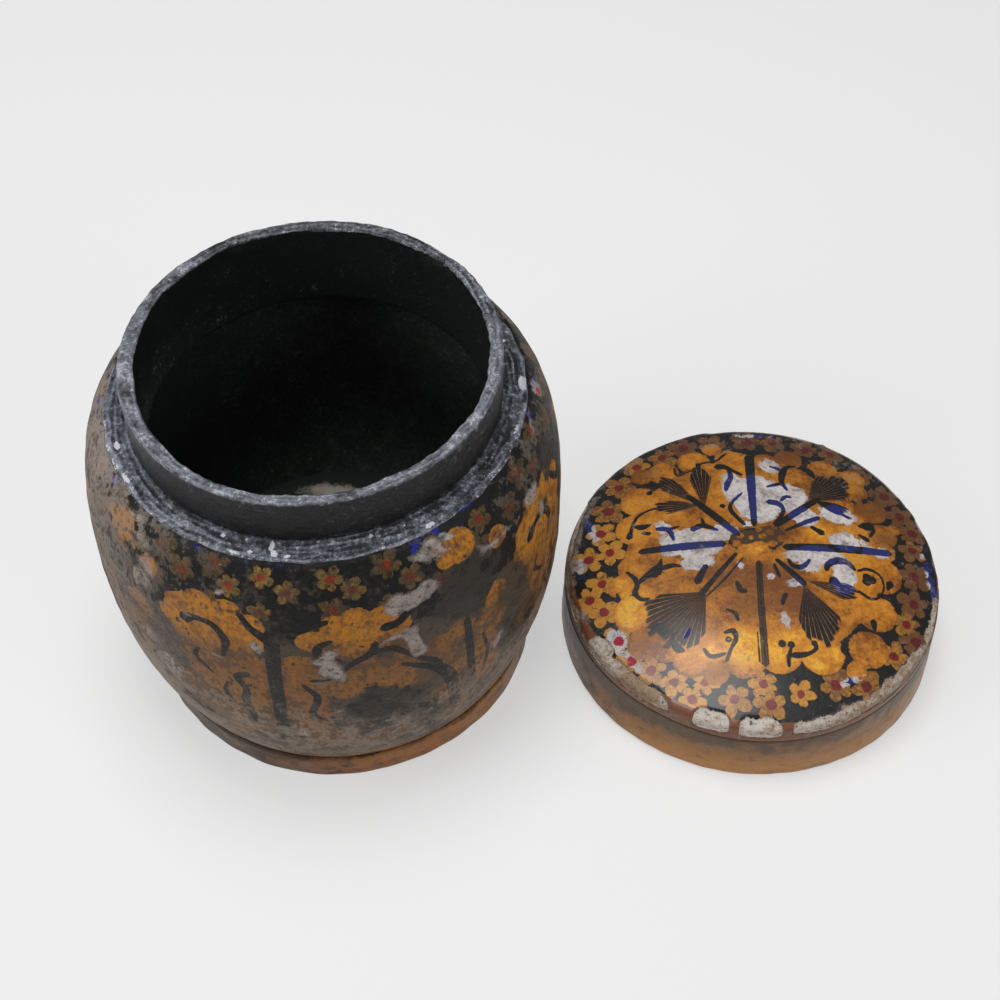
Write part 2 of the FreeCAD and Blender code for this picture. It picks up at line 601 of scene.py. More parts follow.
def patched(across: Array, up: Array, patches: Sequence[Patch], period: float = 0.0) -> Array:
    """How far inside the nearest of some oval patches each spot lies, in millimetres, negative outside.

    Args:
        across: first length of each spot, in millimetres.
        up: second length of each spot.
        patches: the ovals.
        period: length after which the skin comes round again, if it does.
    Returns:
        One depth per spot.
    """
    depth = np.full_like(across, NO_PATCH)
    for patch in patches:
        apart = across - patch.middle[0]
        if period:
            apart = apart - period * np.round(apart / period)
        rise = up - patch.middle[1]
        c, s = math.cos(math.radians(patch.turn)), math.sin(math.radians(patch.turn))
        reach = np.hypot((c * apart + s * rise) / patch.half[0], (c * rise - s * apart) / patch.half[1])
        depth = np.maximum(depth, (1.0 - reach) * min(patch.half))
    return depth


# Shader expressions

class Value:
    """A shader socket whose operators add Math nodes to its graph."""

    def __init__(self, graph: "Graph", socket: bpy.types.NodeSocket) -> None:
        """Keep the graph and the socket."""
        self.graph = graph
        self.socket = socket

    def math(self, operation: str, first: "Term", second: "Term" = 0.0, clamp: bool = False) -> "Value":
        """A Math node of two terms."""
        settings = {"operation": operation, "use_clamp": clamp}
        return self.graph.node("ShaderNodeMath", settings, {0: first, 1: second})

    def __add__(self, other: "Term") -> "Value":
        """The sum."""
        return self.math("ADD", self, other)

    def __radd__(self, other: "Term") -> "Value":
        """The sum, from the right."""
        return self.math("ADD", other, self)

    def __sub__(self, other: "Term") -> "Value":
        """The difference."""
        return self.math("SUBTRACT", self, other)

    def __rsub__(self, other: "Term") -> "Value":
        """The difference, from the right."""
        return self.math("SUBTRACT", other, self)

    def __mul__(self, other: "Term") -> "Value":
        """The product."""
        return self.math("MULTIPLY", self, other)

    def __rmul__(self, other: "Term") -> "Value":
        """The product, from the right."""
        return self.math("MULTIPLY", other, self)

    def __truediv__(self, other: "Term") -> "Value":
        """The quotient."""
        return self.math("DIVIDE", self, other)

    def __rtruediv__(self, other: "Term") -> "Value":
        """The quotient, from the right."""
        return self.math("DIVIDE", other, self)

    def __pow__(self, other: "Term") -> "Value":
        """The power."""
        return self.math("POWER", self, other)

    def __rpow__(self, other: "Term") -> "Value":
        """The power, from the right."""
        return self.math("POWER", other, self)

    def __abs__(self) -> "Value":
        """The size without its sign."""
        return self.math("ABSOLUTE", self)

    def most(self, other: "Term") -> "Value":
        """The greater of two."""
        return self.math("MAXIMUM", self, other)

    def least(self, other: "Term") -> "Value":
        """The smaller of two."""
        return self.math("MINIMUM", self, other)

    def held(self) -> "Value":
        """The value held between 0 and 1."""
        return self.math("ADD", self, 0.0, clamp=True)

    def rise(self, low: float, high: float) -> "Value":
        """A smooth step from 0 at low to 1 at high."""
        sockets = {0: self, 1: low, 2: high, 3: 0.0, 4: 1.0}
        return self.graph.node("ShaderNodeMapRange", {"interpolation_type": "SMOOTHSTEP"}, sockets)


Term = Union[Value, float, Sequence[float]]


class Graph:
    """A material's nodes, added by expressions."""

    def __init__(self, name: str) -> None:
        """Start an empty material.

        Args:
            name: of the material.
        """
        self.material = bpy.data.materials.new(name)
        self.material.use_nodes = True
        self.tree = self.material.node_tree
        self.tree.nodes.clear()

    def node(self, kind: str, settings: dict, sockets: dict, output: Union[int, str] = 0) -> Value:
        """Add a node.

        Args:
            kind: the node's type.
            settings: its properties, set first.
            sockets: values or links of its inputs, by name or number.
            output: which of its outputs is wanted.
        Returns:
            That output.
        """
        made = self.tree.nodes.new(kind)
        for key, value in settings.items():
            setattr(made, key, value)
        for key, value in sockets.items():
            if isinstance(value, Value):
                self.tree.links.new(value.socket, made.inputs[key])
            elif made.inputs[key].type == "RGBA" and len(value) == 3:
                made.inputs[key].default_value = (*value, 1.0)
            else:
                made.inputs[key].default_value = value
        return Value(self, made.outputs[output])

    def place(self) -> Value:
        """Where a spot is in the object's own frame, in millimetres."""
        where = self.node("ShaderNodeTexCoord", {}, {}, "Object")
        return self.node("ShaderNodeVectorMath", {"operation": "SCALE"}, {0: where, "Scale": 1 / MM})

    def stretched(self, where: Value, scale: Sequence[float]) -> Value:
        """A place with its three lengths multiplied."""
        return self.node("ShaderNodeVectorMath", {"operation": "MULTIPLY"}, {0: where, 1: scale})

    def noise(self, where: Value, size: float, detail: float = 3.0, rough: float = 0.55) -> Value:
        """Cloudy noise of about -0.5 to 0.5 with features of one size, in millimetres."""
        sockets = {"Vector": where, "Scale": 1 / size, "Detail": detail, "Roughness": rough}
        return self.node("ShaderNodeTexNoise", {}, sockets) - 0.5

    def painted(self, name: str) -> Value:
        """A number that the mesh carries at its points."""
        return self.node("ShaderNodeAttribute", {"attribute_name": name}, {}, "Fac")

    def brushed(self, name: str) -> tuple[Value, Value, Value]:
        """The three numbers that the mesh carries at its face corners.

        Args:
            name: under which the mesh carries them.
        Returns:
            The numbers.
        """
        row = self.node("ShaderNodeAttribute", {"attribute_name": name}, {}, "Vector")
        split = [self.node("ShaderNodeSeparateXYZ", {}, {0: row}, axis) for axis in "XYZ"]
        return split[0], split[1], split[2]

    def mix(self, low: Term, high: Term, factor: Term) -> Value:
        """One colour laid over another."""
        sockets = {0: factor, 6: low, 7: high}
        return self.node("ShaderNodeMix", {"data_type": "RGBA"}, sockets, 2)

    def bump(self, height: Value, depth: float) -> Value:
        """A relief of so many millimetres."""
        sockets = {"Height": height, "Strength": 1.0, "Distance": depth * MM}
        return self.node("ShaderNodeBump", {}, sockets)

    def finish(self, colour: Term, rough: Term, normal: Value, coat: Term = 0.0, coat_rough: float = 0.2,
               gloss: float = 0.5, metal: Term = 0.0) -> bpy.types.Material:
        """Close the material with its shader.

        Args:
            colour: base colour.
            rough: roughness.
            normal: relief.
            coat: weight of the varnish.
            coat_rough: roughness of the varnish.
            gloss: strength of the surface's own reflection.
            metal: how far the surface shines like leaf metal.
        Returns:
            The material.
        """
        sockets = {"Base Color": colour, "Roughness": rough, "Normal": normal, "Coat Weight": coat,
                   "Coat Roughness": coat_rough, "Specular IOR Level": gloss, "Metallic": metal}
        shader = self.node("ShaderNodeBsdfPrincipled", {}, sockets)
        return self.close(shader)

    def close(self, shader: Value) -> bpy.types.Material:
        """Link a shader to the material's output.

        Args:
            shader: what the surface is made of.
        Returns:
            The material.
        """
        out = self.tree.nodes.new("ShaderNodeOutputMaterial")
        self.tree.links.new(shader.socket, out.inputs["Surface"])
        return self.material


# Finishes, with linear colours

@dataclass(frozen=True)
class PaintedOrnament:
    """White, blue and red painting under amber varnish, with gesso or paper where it has flaked."""

    bright: Colour
    gold: Colour
    deep: Colour
    petal: Colour
    petal_dim: Colour
    brick: Colour
    black: Colour
    umber: Colour
    band: Colour
    white: Colour
    veil: Colour
    blue: Colour
    red: Colour
    gesso: Colour
    paper: Colour
    rubbed: Colour
    rubbed_pale: Colour
    film: Colour
    flower_size: float
    petal_hold: float
    soft: float
    flake_hold: float
    flake_soft: float
    blue_line: float
    pitted: float
    mottle: float
    gilded: float
    rough: float
    coat: float
    gloss: float
    relief: float

    def flowers(self, g: Graph, ragged: Value, bend: Value) -> tuple[Value, Value, Value]:
        """Five petals and an eye: a radius that swells five times in a turn round the flower's middle.

        Args:
            g: the material's graph.
            ragged: noise for the edges.
            bend: slower noise that pulls each flower out of shape.
        Returns:
            The petals, the eye, and the flower's own chance number.
        """
        across, up, seed = g.brushed("flower")
        across, up = across + 2.2 * bend, up - 1.8 * bend
        reach = (across * across + up * up) ** 0.5
        turn = up.math("ARCTAN2", up, across)
        lobe = abs(turn.math("COSINE", 2.5 * turn + 9.0 * seed)) ** 0.6
        uneven = 1.0 + 0.16 * turn.math("SINE", turn + 17.0 * seed)
        size = self.flower_size * (0.82 + 0.3 * seed) * uneven
        petals = (size * (0.48 + 0.52 * lobe) + 1.5 * ragged - reach).rise(-self.soft, self.soft)
        petals = petals * (self.petal_hold + 3.0 * bend + 2.4 * ragged).held()
        crease = (0.34 - abs(lobe - 0.12)).rise(0.2, 0.34) * (reach - 0.3 * size).rise(0.0, 0.4)
        eye = (0.31 * size + 0.9 * ragged - reach).rise(-self.soft, self.soft)
        return petals * (1.0 - 0.7 * crease), eye, seed

    def ink(self, g: Graph, ragged: Value) -> Value:
        """Brush strokes, and the fanned lines of the feathered leaves, each with its own length.

        Args:
            g: the material's graph.
            ragged: noise for the edges.
        Returns:
            1 under the brush and 0 beside it.
        """
        away, half, split = g.brushed("stroke")
        line = (half + 0.6 * ragged - abs(away)).rise(-0.15, 0.15)
        hair = split * (0.22 - abs(abs(away) - 0.5 * half)).rise(-0.1, 0.1)
        along, off, pitch = g.brushed("tuft")
        length, fill, spread = g.brushed("tuft_size")
        reach = (along * along + off * off) ** 0.5
        turn = off.math("ARCTAN2", off, along)
        fan = turn / pitch
        number = fan.math("ROUND", fan)
        gap = pitch * reach
        chance = number.math("SINE", number * 12.9 + length) * 7.3
        tip = length * (1.0 - 0.3 * turn * turn / (spread * spread)) - 4.0 * chance.math("FRACT", chance)
        lines = ((fill * gap).least(0.95) + 0.25 * ragged - abs(fan - number) * gap).rise(-0.1, 0.1)
        lines = lines * (tip - reach).rise(-0.6, 0.6) * (spread - abs(turn)).rise(-0.03, 0.03)
        return (line * (1.0 - hair)).most(lines)

    def material(self, name: str) -> bpy.types.Material:
        """Lay the coats over each other: pigment, varnish and its loss, rubbing, dirt, flakes, dust.

        The rubbing also lays a painted sheen, and the gold's tone a painted highlight, where the mesh marks
        them.

        Args:
            name: of the material.
        Returns:
            The material.
        """
        g = Graph(name)
        spot = g.place()
        fine, grain = g.noise(spot, 0.55, 2.0), g.noise(spot, 1.6, 4.0)
        drift, wash = g.noise(spot, 5.0, 4.0), g.noise(spot, 22.0)
        brushed = g.noise(g.stretched(spot, (1.0, 1.0, 0.4)), 1.3, 4.0, 0.65)
        ragged = grain + 0.6 * fine
        torn = 5.0 * drift + 3.0 * grain + 1.2 * fine
        petals, eye, seed = self.flowers(g, ragged, drift)
        ink = self.ink(g, ragged)
        within = ragged + 1.2 * drift - g.painted("field")
        field = within.rise(-0.18, 0.18)
        gilt = field * (1.0 - ink)
        petals, eye = petals * (1.0 - field), eye * (1.0 - field)
        mottle = 2.2 * wash + 2.2 * drift + grain + 1.6 * brushed + 0.5 * fine
        # The glow mark lifts the gold's tone: real tone, and in places a painted highlight.
        tone = 0.3 + 0.2 * within.rise(0.0, 2.5) + self.mottle * mottle + g.painted("glow")
        gold = g.mix(g.mix(self.deep, self.gold, (1.6 * tone).held()), self.bright, tone.rise(0.6, 1.25))
        dull = (0.9 * seed + 2.0 * drift + 2.0 * brushed + 1.4 * grain + g.painted("fade")).held()
        umber = (g.painted("umber") + 1.8 * drift + 1.4 * grain).rise(0.2, 0.8) * (1.0 - 0.8 * ink)
        aged = g.mix(self.black, self.umber, umber)
        aged = g.mix(g.mix(aged, gold, gilt), g.mix(self.petal, self.petal_dim, dull), petals)
        aged = g.mix(aged, g.mix(self.brick, self.black, 0.55 * dull), eye)
        aged = g.mix(aged, self.band, (g.painted("band") + 0.9 * ragged).rise(-0.2, 0.2))
        pale = g.mix(self.white, self.veil, (0.35 + 2.6 * drift + 2.2 * grain + 1.2 * fine).held())
        fresh = g.mix(g.mix(self.blue, pale, gilt.most(petals)), self.red, eye)
        flake = g.painted("chip").least(self.flake_hold) + torn
        torn_off = g.painted("loss") + 1.1 * torn
        loss = torn_off.most(flake + self.blue_line - 3.0 * abs(drift)).rise(-0.3, 0.3)
        colour = g.mix(aged, fresh, loss)
        pits = (abs(g.noise(spot, 2.4, 5.0, 0.7)) + 0.5 * drift + 0.3 * fine).rise(0.22, 0.4)
        colour = g.mix(colour, self.film, self.pitted * pits * (1.0 - loss))
        # Rubbing lays a pale colour; where the mesh marks it, this also stands for a painted sheen of the
        # varnish.
        rub = (g.painted("rub") + 2.0 * drift + wash + 0.9 * grain + 1.3 * brushed).rise(0.3, 0.95)
        thin = (g.painted("bare") + 2.2 * drift + 1.8 * grain + fine).held()
        colour = g.mix(colour, g.mix(self.rubbed, self.rubbed_pale, thin), 0.9 * rub)
        grime = 1.5 * wash + 2.0 * drift + grain + 0.9 * brushed
        dirt = (g.painted("dirt") + self.mottle * grime).rise(0.15, 1.2)
        colour = g.mix(colour, self.film, dirt)
        chip = flake.rise(-self.flake_soft, self.flake_soft)
        bare = (g.painted("bare") + 2.6 * drift + 2.6 * grain + 1.2 * fine).held()
        colour = g.mix(colour, g.mix(self.gesso, self.paper, bare), chip)
        colour = g.mix(colour, self.film, chip * (fine + 0.7 * grain).rise(0.1, 0.2) * 0.6)
        dust = (fine + 0.5 * grain).rise(0.25, 0.33) * 0.35
        colour = g.mix(colour, self.gesso, dust * (1.0 - gilt))
        relief = 0.5 * grain + 0.3 * fine + 0.7 * drift + 0.2 * ink - chip - 0.35 * loss
        rough = self.rough + 0.25 * rub + 0.35 * chip + 0.15 * loss + 0.3 * drift + 0.3 * fine
        kept = (1.0 - chip) * (1.0 - rub) * (1.0 - loss) * (1.0 - 0.7 * dirt)
        coat, shine = (self.coat * kept).held(), (self.gilded * gilt * kept).held()
        return g.finish(colour, rough.held(), g.bump(relief, self.relief), coat, 0.24, self.gloss, shine)


@dataclass(frozen=True)
class SlateGround:
    """Black ground coat, streaked grey and flecked white where it is worn to the grit beneath, and paler
    where light is painted.
    """

    dark: Colour
    dusty: Colour
    grit: Colour
    stain: Colour
    patchy: float
    gritty: float
    rough: float
    coarse: float
    gloss: float

    def material(self, name: str) -> bpy.types.Material:
        """Dust and grit where the mesh marks wear and painted light, then stains, flakes and relief.

        Args:
            name: of the material.
        Returns:
            The material.
        """
        g = Graph(name)
        spot = g.place()
        pepper, grain = g.noise(spot, 0.55, 3.0, 0.6), g.noise(spot, 1.5, 4.0, 0.65)
        drift = g.noise(spot, 7.0, 4.0)
        wear, streak = g.painted("wear"), g.painted("streak")
        uneven = 1.7 * drift + 3.2 * grain + 0.8 * pepper
        # The wear mark also carries painted light: the paler collar sides, the ledge's left and the barrel's
        # hollow.
        dust = (wear + 0.3 * streak + self.patchy * uneven).rise(0.1, 1.2)
        colour = g.mix(self.dark, self.dusty, dust)
        grit = (0.8 * pepper + grain + 0.5 * drift + 0.05 * streak + 0.14 * wear).rise(0.2, 0.3)
        colour = g.mix(colour, self.grit, self.gritty * grit * wear.rise(-0.1, 0.35))
        colour = g.mix(colour, self.stain, (g.painted("stain") + 2.2 * drift + 2.0 * grain).rise(0.3, 0.6))
        flake = (g.painted("chip").least(0.7) + 2.0 * drift + 2.6 * grain + 1.4 * pepper).rise(-0.1, 0.25)
        colour = g.mix(colour, self.grit, 0.9 * flake)
        relief = 0.7 * pepper + 1.2 * grain + 0.5 * drift + 0.35 * streak
        rough = (self.rough + 0.3 * grain + 0.15 * dust).held()
        return g.finish(colour, rough, g.bump(relief, self.coarse), 0.0, 0.3, self.gloss)


@dataclass(frozen=True)
class VarnishedBand:
    """Ochre-brown paint under satin varnish, smeared lengthways, dark where dirt lies and where shade is
    painted.
    """

    light: Colour
    deep: Colour
    dark: Colour
    pale: Colour
    gesso: Colour
    blotch: float
    rough: float
    coat: float

    def material(self, name: str) -> bpy.types.Material:
        """Smears stretched along the band, dirt and painted shade, a painted highlight, pale rubbing and
        flakes where the mesh says.

        Args:
            name: of the material.
        Returns:
            The material.
        """
        g = Graph(name)
        spot = g.place()
        smear = g.noise(g.stretched(spot, (1.0, 1.0, 3.5)), 14.0, 4.0)
        fine, grain, drift = g.noise(spot, 0.6, 2.0), g.noise(spot, 1.8, 4.0), g.noise(spot, 6.0, 4.0)
        blots = self.blotch * (2.6 * smear + 2.4 * drift + 1.2 * grain)
        # The glow mark lightens the band; on the skirt's lower part it is partly a painted highlight.
        tone = 0.5 + 1.1 * blots + g.painted("glow")
        colour = g.mix(self.deep, self.light, tone.held())
        # The dirt mark is partly painted shade: on the skirt's left beside the jar, and on the foot's top
        # under the barrel.
        dirt = (g.painted("dirt") + blots).rise(0.2, 0.9)
        colour = g.mix(colour, self.dark, 0.85 * dirt)
        rub = (g.painted("rub") + 1.6 * drift + 1.4 * grain + 0.5 * fine).rise(0.35, 0.95)
        colour = g.mix(colour, self.pale, 0.8 * rub)
        chip = (g.painted("chip").least(0.5) + 2.8 * drift + 2.4 * grain + 0.8 * fine).rise(-0.25, 0.25)
        colour = g.mix(colour, self.gesso, chip)
        relief = 0.4 * grain + 0.3 * fine + 0.6 * drift - 0.8 * chip
        rough = (self.rough + 0.3 * drift + 0.3 * chip + 0.2 * rub).held()
        coat = (self.coat * (1.0 - chip) * (1.0 - 0.6 * dirt)).held()
        return g.finish(colour, rough, g.bump(relief, 0.4), coat, 0.25, 0.22)


@dataclass(frozen=True)
class BarePaper:
    """Black wash over pasted paper, thin enough at one side for the paper to show."""

    wash: Colour
    paper: Colour

    def material(self, name: str) -> bpy.types.Material:
        """Paper shows where the mesh says that the wash is worn.

        Args:
            name: of the material.
        Returns:
            The material.
        """
        g = Graph(name)
        spot = g.place()
        grain, drift = g.noise(spot, 1.6, 4.0), g.noise(spot, 7.0, 4.0)
        colour = g.mix(self.wash, self.paper, (g.painted("wear") + 1.2 * drift + grain).rise(0.2, 0.9))
        return g.finish(colour, 0.8, g.bump(grain + drift, 0.4), 0.0, 0.3, 0.2)


BARREL_PAINT = PaintedOrnament(
    bright=(0.56, 0.215, 0.011), gold=(0.28, 0.112, 0.02), deep=(0.10, 0.052, 0.025),
    petal=(0.27, 0.155, 0.04), petal_dim=(0.075, 0.046, 0.022), brick=(0.24, 0.03, 0.01),
    black=(0.008, 0.0081, 0.0078), umber=(0.072, 0.052, 0.037), band=(0.16, 0.07, 0.03),
    white=(0.40, 0.37, 0.34), veil=(0.16, 0.14, 0.13), blue=(0.014, 0.02, 0.17), red=(0.34, 0.03, 0.025),
    gesso=(0.40, 0.35, 0.32), paper=(0.14, 0.11, 0.09), rubbed=(0.25, 0.167, 0.112),
    rubbed_pale=(0.25, 0.235, 0.215), film=(0.038, 0.032, 0.026),
    flower_size=4.5, petal_hold=0.8, soft=0.4, flake_hold=0.6, flake_soft=0.9, blue_line=-9.0, pitted=0.1,
    mottle=1.45, gilded=0.08, rough=0.5, coat=0.05, gloss=0.11, relief=0.7,
)
CROWN_PAINT = PaintedOrnament(
    bright=(0.75, 0.40, 0.032), gold=(0.50, 0.188, 0.016), deep=(0.17, 0.055, 0.01),
    petal=(0.48, 0.215, 0.026), petal_dim=(0.12, 0.052, 0.02), brick=(0.18, 0.016, 0.015),
    black=(0.009, 0.0085, 0.008), umber=(0.06, 0.035, 0.018), band=(0.15, 0.05, 0.02),
    white=(0.58, 0.54, 0.52), veil=(0.29, 0.25, 0.24), blue=(0.018, 0.024, 0.115), red=(0.30, 0.012, 0.025),
    gesso=(0.50, 0.45, 0.40), paper=(0.27, 0.19, 0.125), rubbed=(0.115, 0.09, 0.07),
    rubbed_pale=(0.29, 0.24, 0.20), film=(0.045, 0.024, 0.012),
    flower_size=5.9, petal_hold=1.1, soft=0.22, flake_hold=1.0, flake_soft=0.25, blue_line=0.2, pitted=0.1,
    mottle=0.65, gilded=0.05, rough=0.4, coat=0.36, gloss=0.22, relief=0.4,
)
LEDGE_GROUND = SlateGround(
    dark=(0.012, 0.0125, 0.015), dusty=(0.235, 0.25, 0.305), grit=(0.66, 0.67, 0.72),
    stain=(0.02, 0.026, 0.20), patchy=0.65, gritty=0.45, rough=0.58, coarse=1.0, gloss=0.45,
)
COLLAR_GROUND = SlateGround(
    dark=(0.007, 0.007, 0.0068), dusty=(0.17, 0.18, 0.215), grit=(0.62, 0.64, 0.69),
    stain=(0.03, 0.03, 0.032), patchy=0.6, gritty=0.4, rough=0.36, coarse=0.5, gloss=0.45,
)
INSIDE_GROUND = SlateGround(
    dark=(0.007, 0.0095, 0.0085), dusty=(0.032, 0.038, 0.034), grit=(0.20, 0.20, 0.19),
    stain=(0.01, 0.011, 0.01), patchy=0.3, gritty=0.4, rough=0.8, coarse=0.5, gloss=0.15,
)
# The barrel's hollow: the black inside ground made lighter, a painted light for the shadowed hollow.
LIGHTENED_HOLLOW_GROUND = SlateGround(
    dark=(0.025, 0.031, 0.027), dusty=(0.09, 0.105, 0.094), grit=(0.24, 0.24, 0.23),
    stain=(0.05, 0.055, 0.05), patchy=0.3, gritty=0.2, rough=0.85, coarse=0.5, gloss=0.1,
)
FOOT_BAND = VarnishedBand(
    light=(0.32, 0.115, 0.016), deep=(0.10, 0.042, 0.017), dark=(0.022, 0.018, 0.014),
    pale=(0.17, 0.135, 0.105), gesso=(0.38, 0.33, 0.29), blotch=1.0, rough=0.42, coat=0.15,
)
SKIRT_BAND = VarnishedBand(
    light=(0.42, 0.185, 0.045), deep=(0.19, 0.085, 0.025), dark=(0.055, 0.040, 0.025),
    pale=(0.28, 0.235, 0.19), gesso=(0.52, 0.47, 0.42), blotch=0.5, rough=0.4, coat=0.25,
)
FLOOR_PAPER = BarePaper(wash=(0.024, 0.029, 0.026), paper=(0.46, 0.41, 0.35))


# Ornament

@dataclass(frozen=True)
class Ornament:
    """What is painted on a skin: the discs of its gold fields, strokes and feathered leaves."""

    lobes: tuple[tuple[float, float, float], ...] = ()
    strokes: tuple[Stroke, ...] = ()
    tufts: tuple[Tuft, ...] = ()


def berry(across: float, up: float, radius: float, half: float = 0.4) -> Stroke:
    """A small ring drawn with the brush.

    Args:
        across: first length of its middle, in millimetres.
        up: second length of its middle.
        radius: of the ring.
        half: half-width of the line.
    Returns:
        The stroke.
    """
    turn = np.linspace(0.0, 2 * math.pi, 7)
    ring = [(across + radius * math.cos(t), up + radius * math.sin(t), half) for t in turn]
    return Stroke(tuple(ring))


# One quarter of the barrel, by millimetres round from the quarter's middle and by height
QUARTER = Ornament(
    lobes=(
        (-44.6, 105, 5.6), (-36.6, 107, 6.0), (-26.6, 107, 5.6), (-19, 103.6, 4.8), (-17, 97, 4.6),
        (-23.6, 93, 5.4), (-32.6, 91, 6.4), (-41.6, 93, 6.6), (-47, 98, 5.0), (-34.6, 99, 9.5),
        (-24, 100, 6.5), (-0.6, 99, 4.6), (7.4, 105, 4.4), (14.4, 106.6, 4.8), (22.4, 105, 4.8),
        (27.4, 100, 4.6), (25.4, 93, 4.6), (16.4, 93, 5.6), (8.4, 94, 5.8), (3.4, 98, 5.2), (15.4, 100, 8),
        (-38.6, 81, 7.5), (-28.6, 78, 9), (-22.6, 68, 8), (-25, 56, 8.5), (-28.6, 45, 8), (-20, 62, 7),
        (-20, 84, 6.5), (-18.5, 74, 6), (-34, 66, 7.5), (-37, 72, 6.5), (-20, 48, 6), (-4.6, 85, 7),
        (-2.6, 76, 8), (-4.6, 64, 8), (-2.6, 55, 6.6), (-6, 46, 6), (-8, 70, 6), (-8, 58, 5.5),
        (16.4, 78, 10), (25.4, 75, 7.5), (8.4, 74, 7), (30, 83, 6), (31, 68, 6), (40, 80, 7), (47.4, 68, 8),
        (42, 54, 6), (57, 66, 7), (58, 52, 7), (48, 84, 6), (60, 78, 7), (62, 90, 6), (0, 38, 7),
        (5, 40, 7), (10, 16, 6), (19, 18, 5), (15, 31, 5.5), (24, 38, 5), (48, 36, 6), (-39, 52, 6),
        (-46, 62, 6.5), (53.4, 118, 6), (47.4, 117, 4), (68, 112, 4),
    ),
    strokes=(
        Stroke(((-12.6, 99, 2.7), (-13.2, 80, 2.4), (-13.6, 60, 2.3), (-15.2, 32, 2.0))),
        Stroke(((-13.2, 98, 2.2), (-18.6, 102.4, 1.4), (-22.6, 108.4, 1.0))),
        Stroke(((-12.6, 99, 2.2), (-6.2, 102.4, 1.6), (5.4, 107, 1.0))),
        Stroke(((50.8, 88, 1.3), (51.8, 66, 1.6), (53.4, 42, 1.2))),
        Stroke(((27.4, 80, 0.8), (38.4, 71, 1.8), (44.0, 60, 2.5), (46.4, 38, 1.9))),
        Stroke(((30.4, 52.4, 1.1), (37, 46, 1.8), (37.8, 30, 1.5), (41, 14, 0.8))),
        Stroke(((38.6, 51.6, 1.2), (37, 46, 1.6))),
        Stroke(((-42.6, 98, 2.4), (-38.0, 100.8, 1.3), (-31.4, 99.6, 1.4), (-28.0, 94, 1.6),
                (-29.8, 85.6, 0.7))),
        Stroke(((-51, 100, 0.6), (-50.2, 106.4, 1.2), (-43.6, 110, 1.0))),
        Stroke(((6.0, 98.4, 0.9), (1.6, 95.8, 1.5), (2.2, 91, 1.6), (8.2, 88.8, 0.6))),
        Stroke(((19.4, 94.4, 1.3), (18.0, 90, 1.7), (11.4, 86, 1.2), (9, 83, 0.7))),
        Stroke(((22.8, 100.4, 2.0), (28.4, 101.6, 1.5), (33.2, 107.6, 1.8))),
        Stroke(((17.8, 89.6, 1.2), (24.4, 90, 1.5), (28.4, 86, 1.0), (34, 79, 1.1))),
        Stroke(((-22.2, 78.4, 1.4), (-26.4, 75.4, 1.4), (-23.6, 69, 1.3), (-25, 62, 1.6), (-23.4, 54, 1.5),
                (-24.6, 45, 0.8))),
        Stroke(((-1.6, 78.4, 0.9), (5.4, 78.8, 0.6))),
        Stroke(((-4.6, 76, 0.7), (-0.6, 68, 1.3), (-3.0, 58, 1.2), (1.4, 53, 0.6))),
        Stroke(((-38.6, 85, 0.6), (-40.2, 79.6, 1.1), (-34.6, 73.6, 0.6))),
        Stroke(((34, 79, 1.2), (39, 74, 1.2), (41, 66, 1.4))),
        Stroke(((-30, 71, 0.5), (-31.5, 64, 0.9), (-29, 58, 0.6))),
        Stroke(((57, 74, 0.5), (59, 62, 1.0), (57, 50, 0.6))),
    ),
    tufts=(Tuft((32.4, 51.6), 160, 28, 44, 13, 0.32), Tuft((32.4, 50.6), 196, 24, 24, 6, 0.3)),
)
BARREL_FLAKES = (
    Patch((-66, 121.3), (9, 1.2), -14), Patch((-58.8, 112), (2.4, 3)), Patch((-60.3, 103.7), (1.8, 4)),
    Patch((-18.8, 93), (2.6, 3)), Patch((2.5, 92), (5, 3.4)), Patch((4.6, 83), (3.4, 8)),
    Patch((34.3, 109), (8, 5)), Patch((31.2, 89), (4.6, 8), 12), Patch((25, 93), (3, 1.6)),
    Patch((-9.5, 43.7), (2.4, 4)), Patch((-55, 63), (7, 8)), Patch((64, 63), (3, 6)),
    Patch((88, 110.6), (4, 2.6)), Patch((91, 103), (2, 4)), Patch((68, 111.4), (6, 1.3)),
    Patch((43, 121), (6, 1.0), -8), Patch((-5, 56), (0.9, 2.2)), Patch((3.6, 60), (1.0, 0.9)),
    Patch((-31.1, 83.7), (3, 1.0)), Patch((-41, 102), (2.0, 0.7)), Patch((-26.5, 113), (2.2, 1.3)),
    Patch((-62.6, 75), (6, 1.0), 12), Patch((-84, 100), (8, 3), 10), Patch((-88, 84), (8, 4), -12),
)
BARREL_DIRT = (
    Patch((52, 99), (14, 14)), Patch((80, 60), (14, 10)), Patch((22, 60), (19, 12)),
    Patch((-46, 44), (14, 10)), Patch((-66, 86), (8, 5)), Patch((105, 112), (10, 8)),
    Patch((-95, 60), (14, 22)), Patch((40, 40), (14, 8)), Patch((74, 83), (9, 6)), Patch((94, 104), (9, 5)),
    Patch((99, 62), (9, 11)), Patch((66, 104), (8, 5)),
)
BARREL_BLUE = (
    Patch((39, 123.8), (2.2, 1.8)), Patch((50, 124), (4, 1.6)), Patch((62, 124), (3, 1.2)),
    Patch((128, 122.5), (4, 3.5)), Patch((-84, 123.4), (4, 1.8)), Patch((-24, 124.6), (2.4, 0.9)),
    Patch((-11, 124.6), (3, 0.9)), Patch((110, 123.8), (3, 1.4)), Patch((-40, 124.8), (4, 0.9)),
)
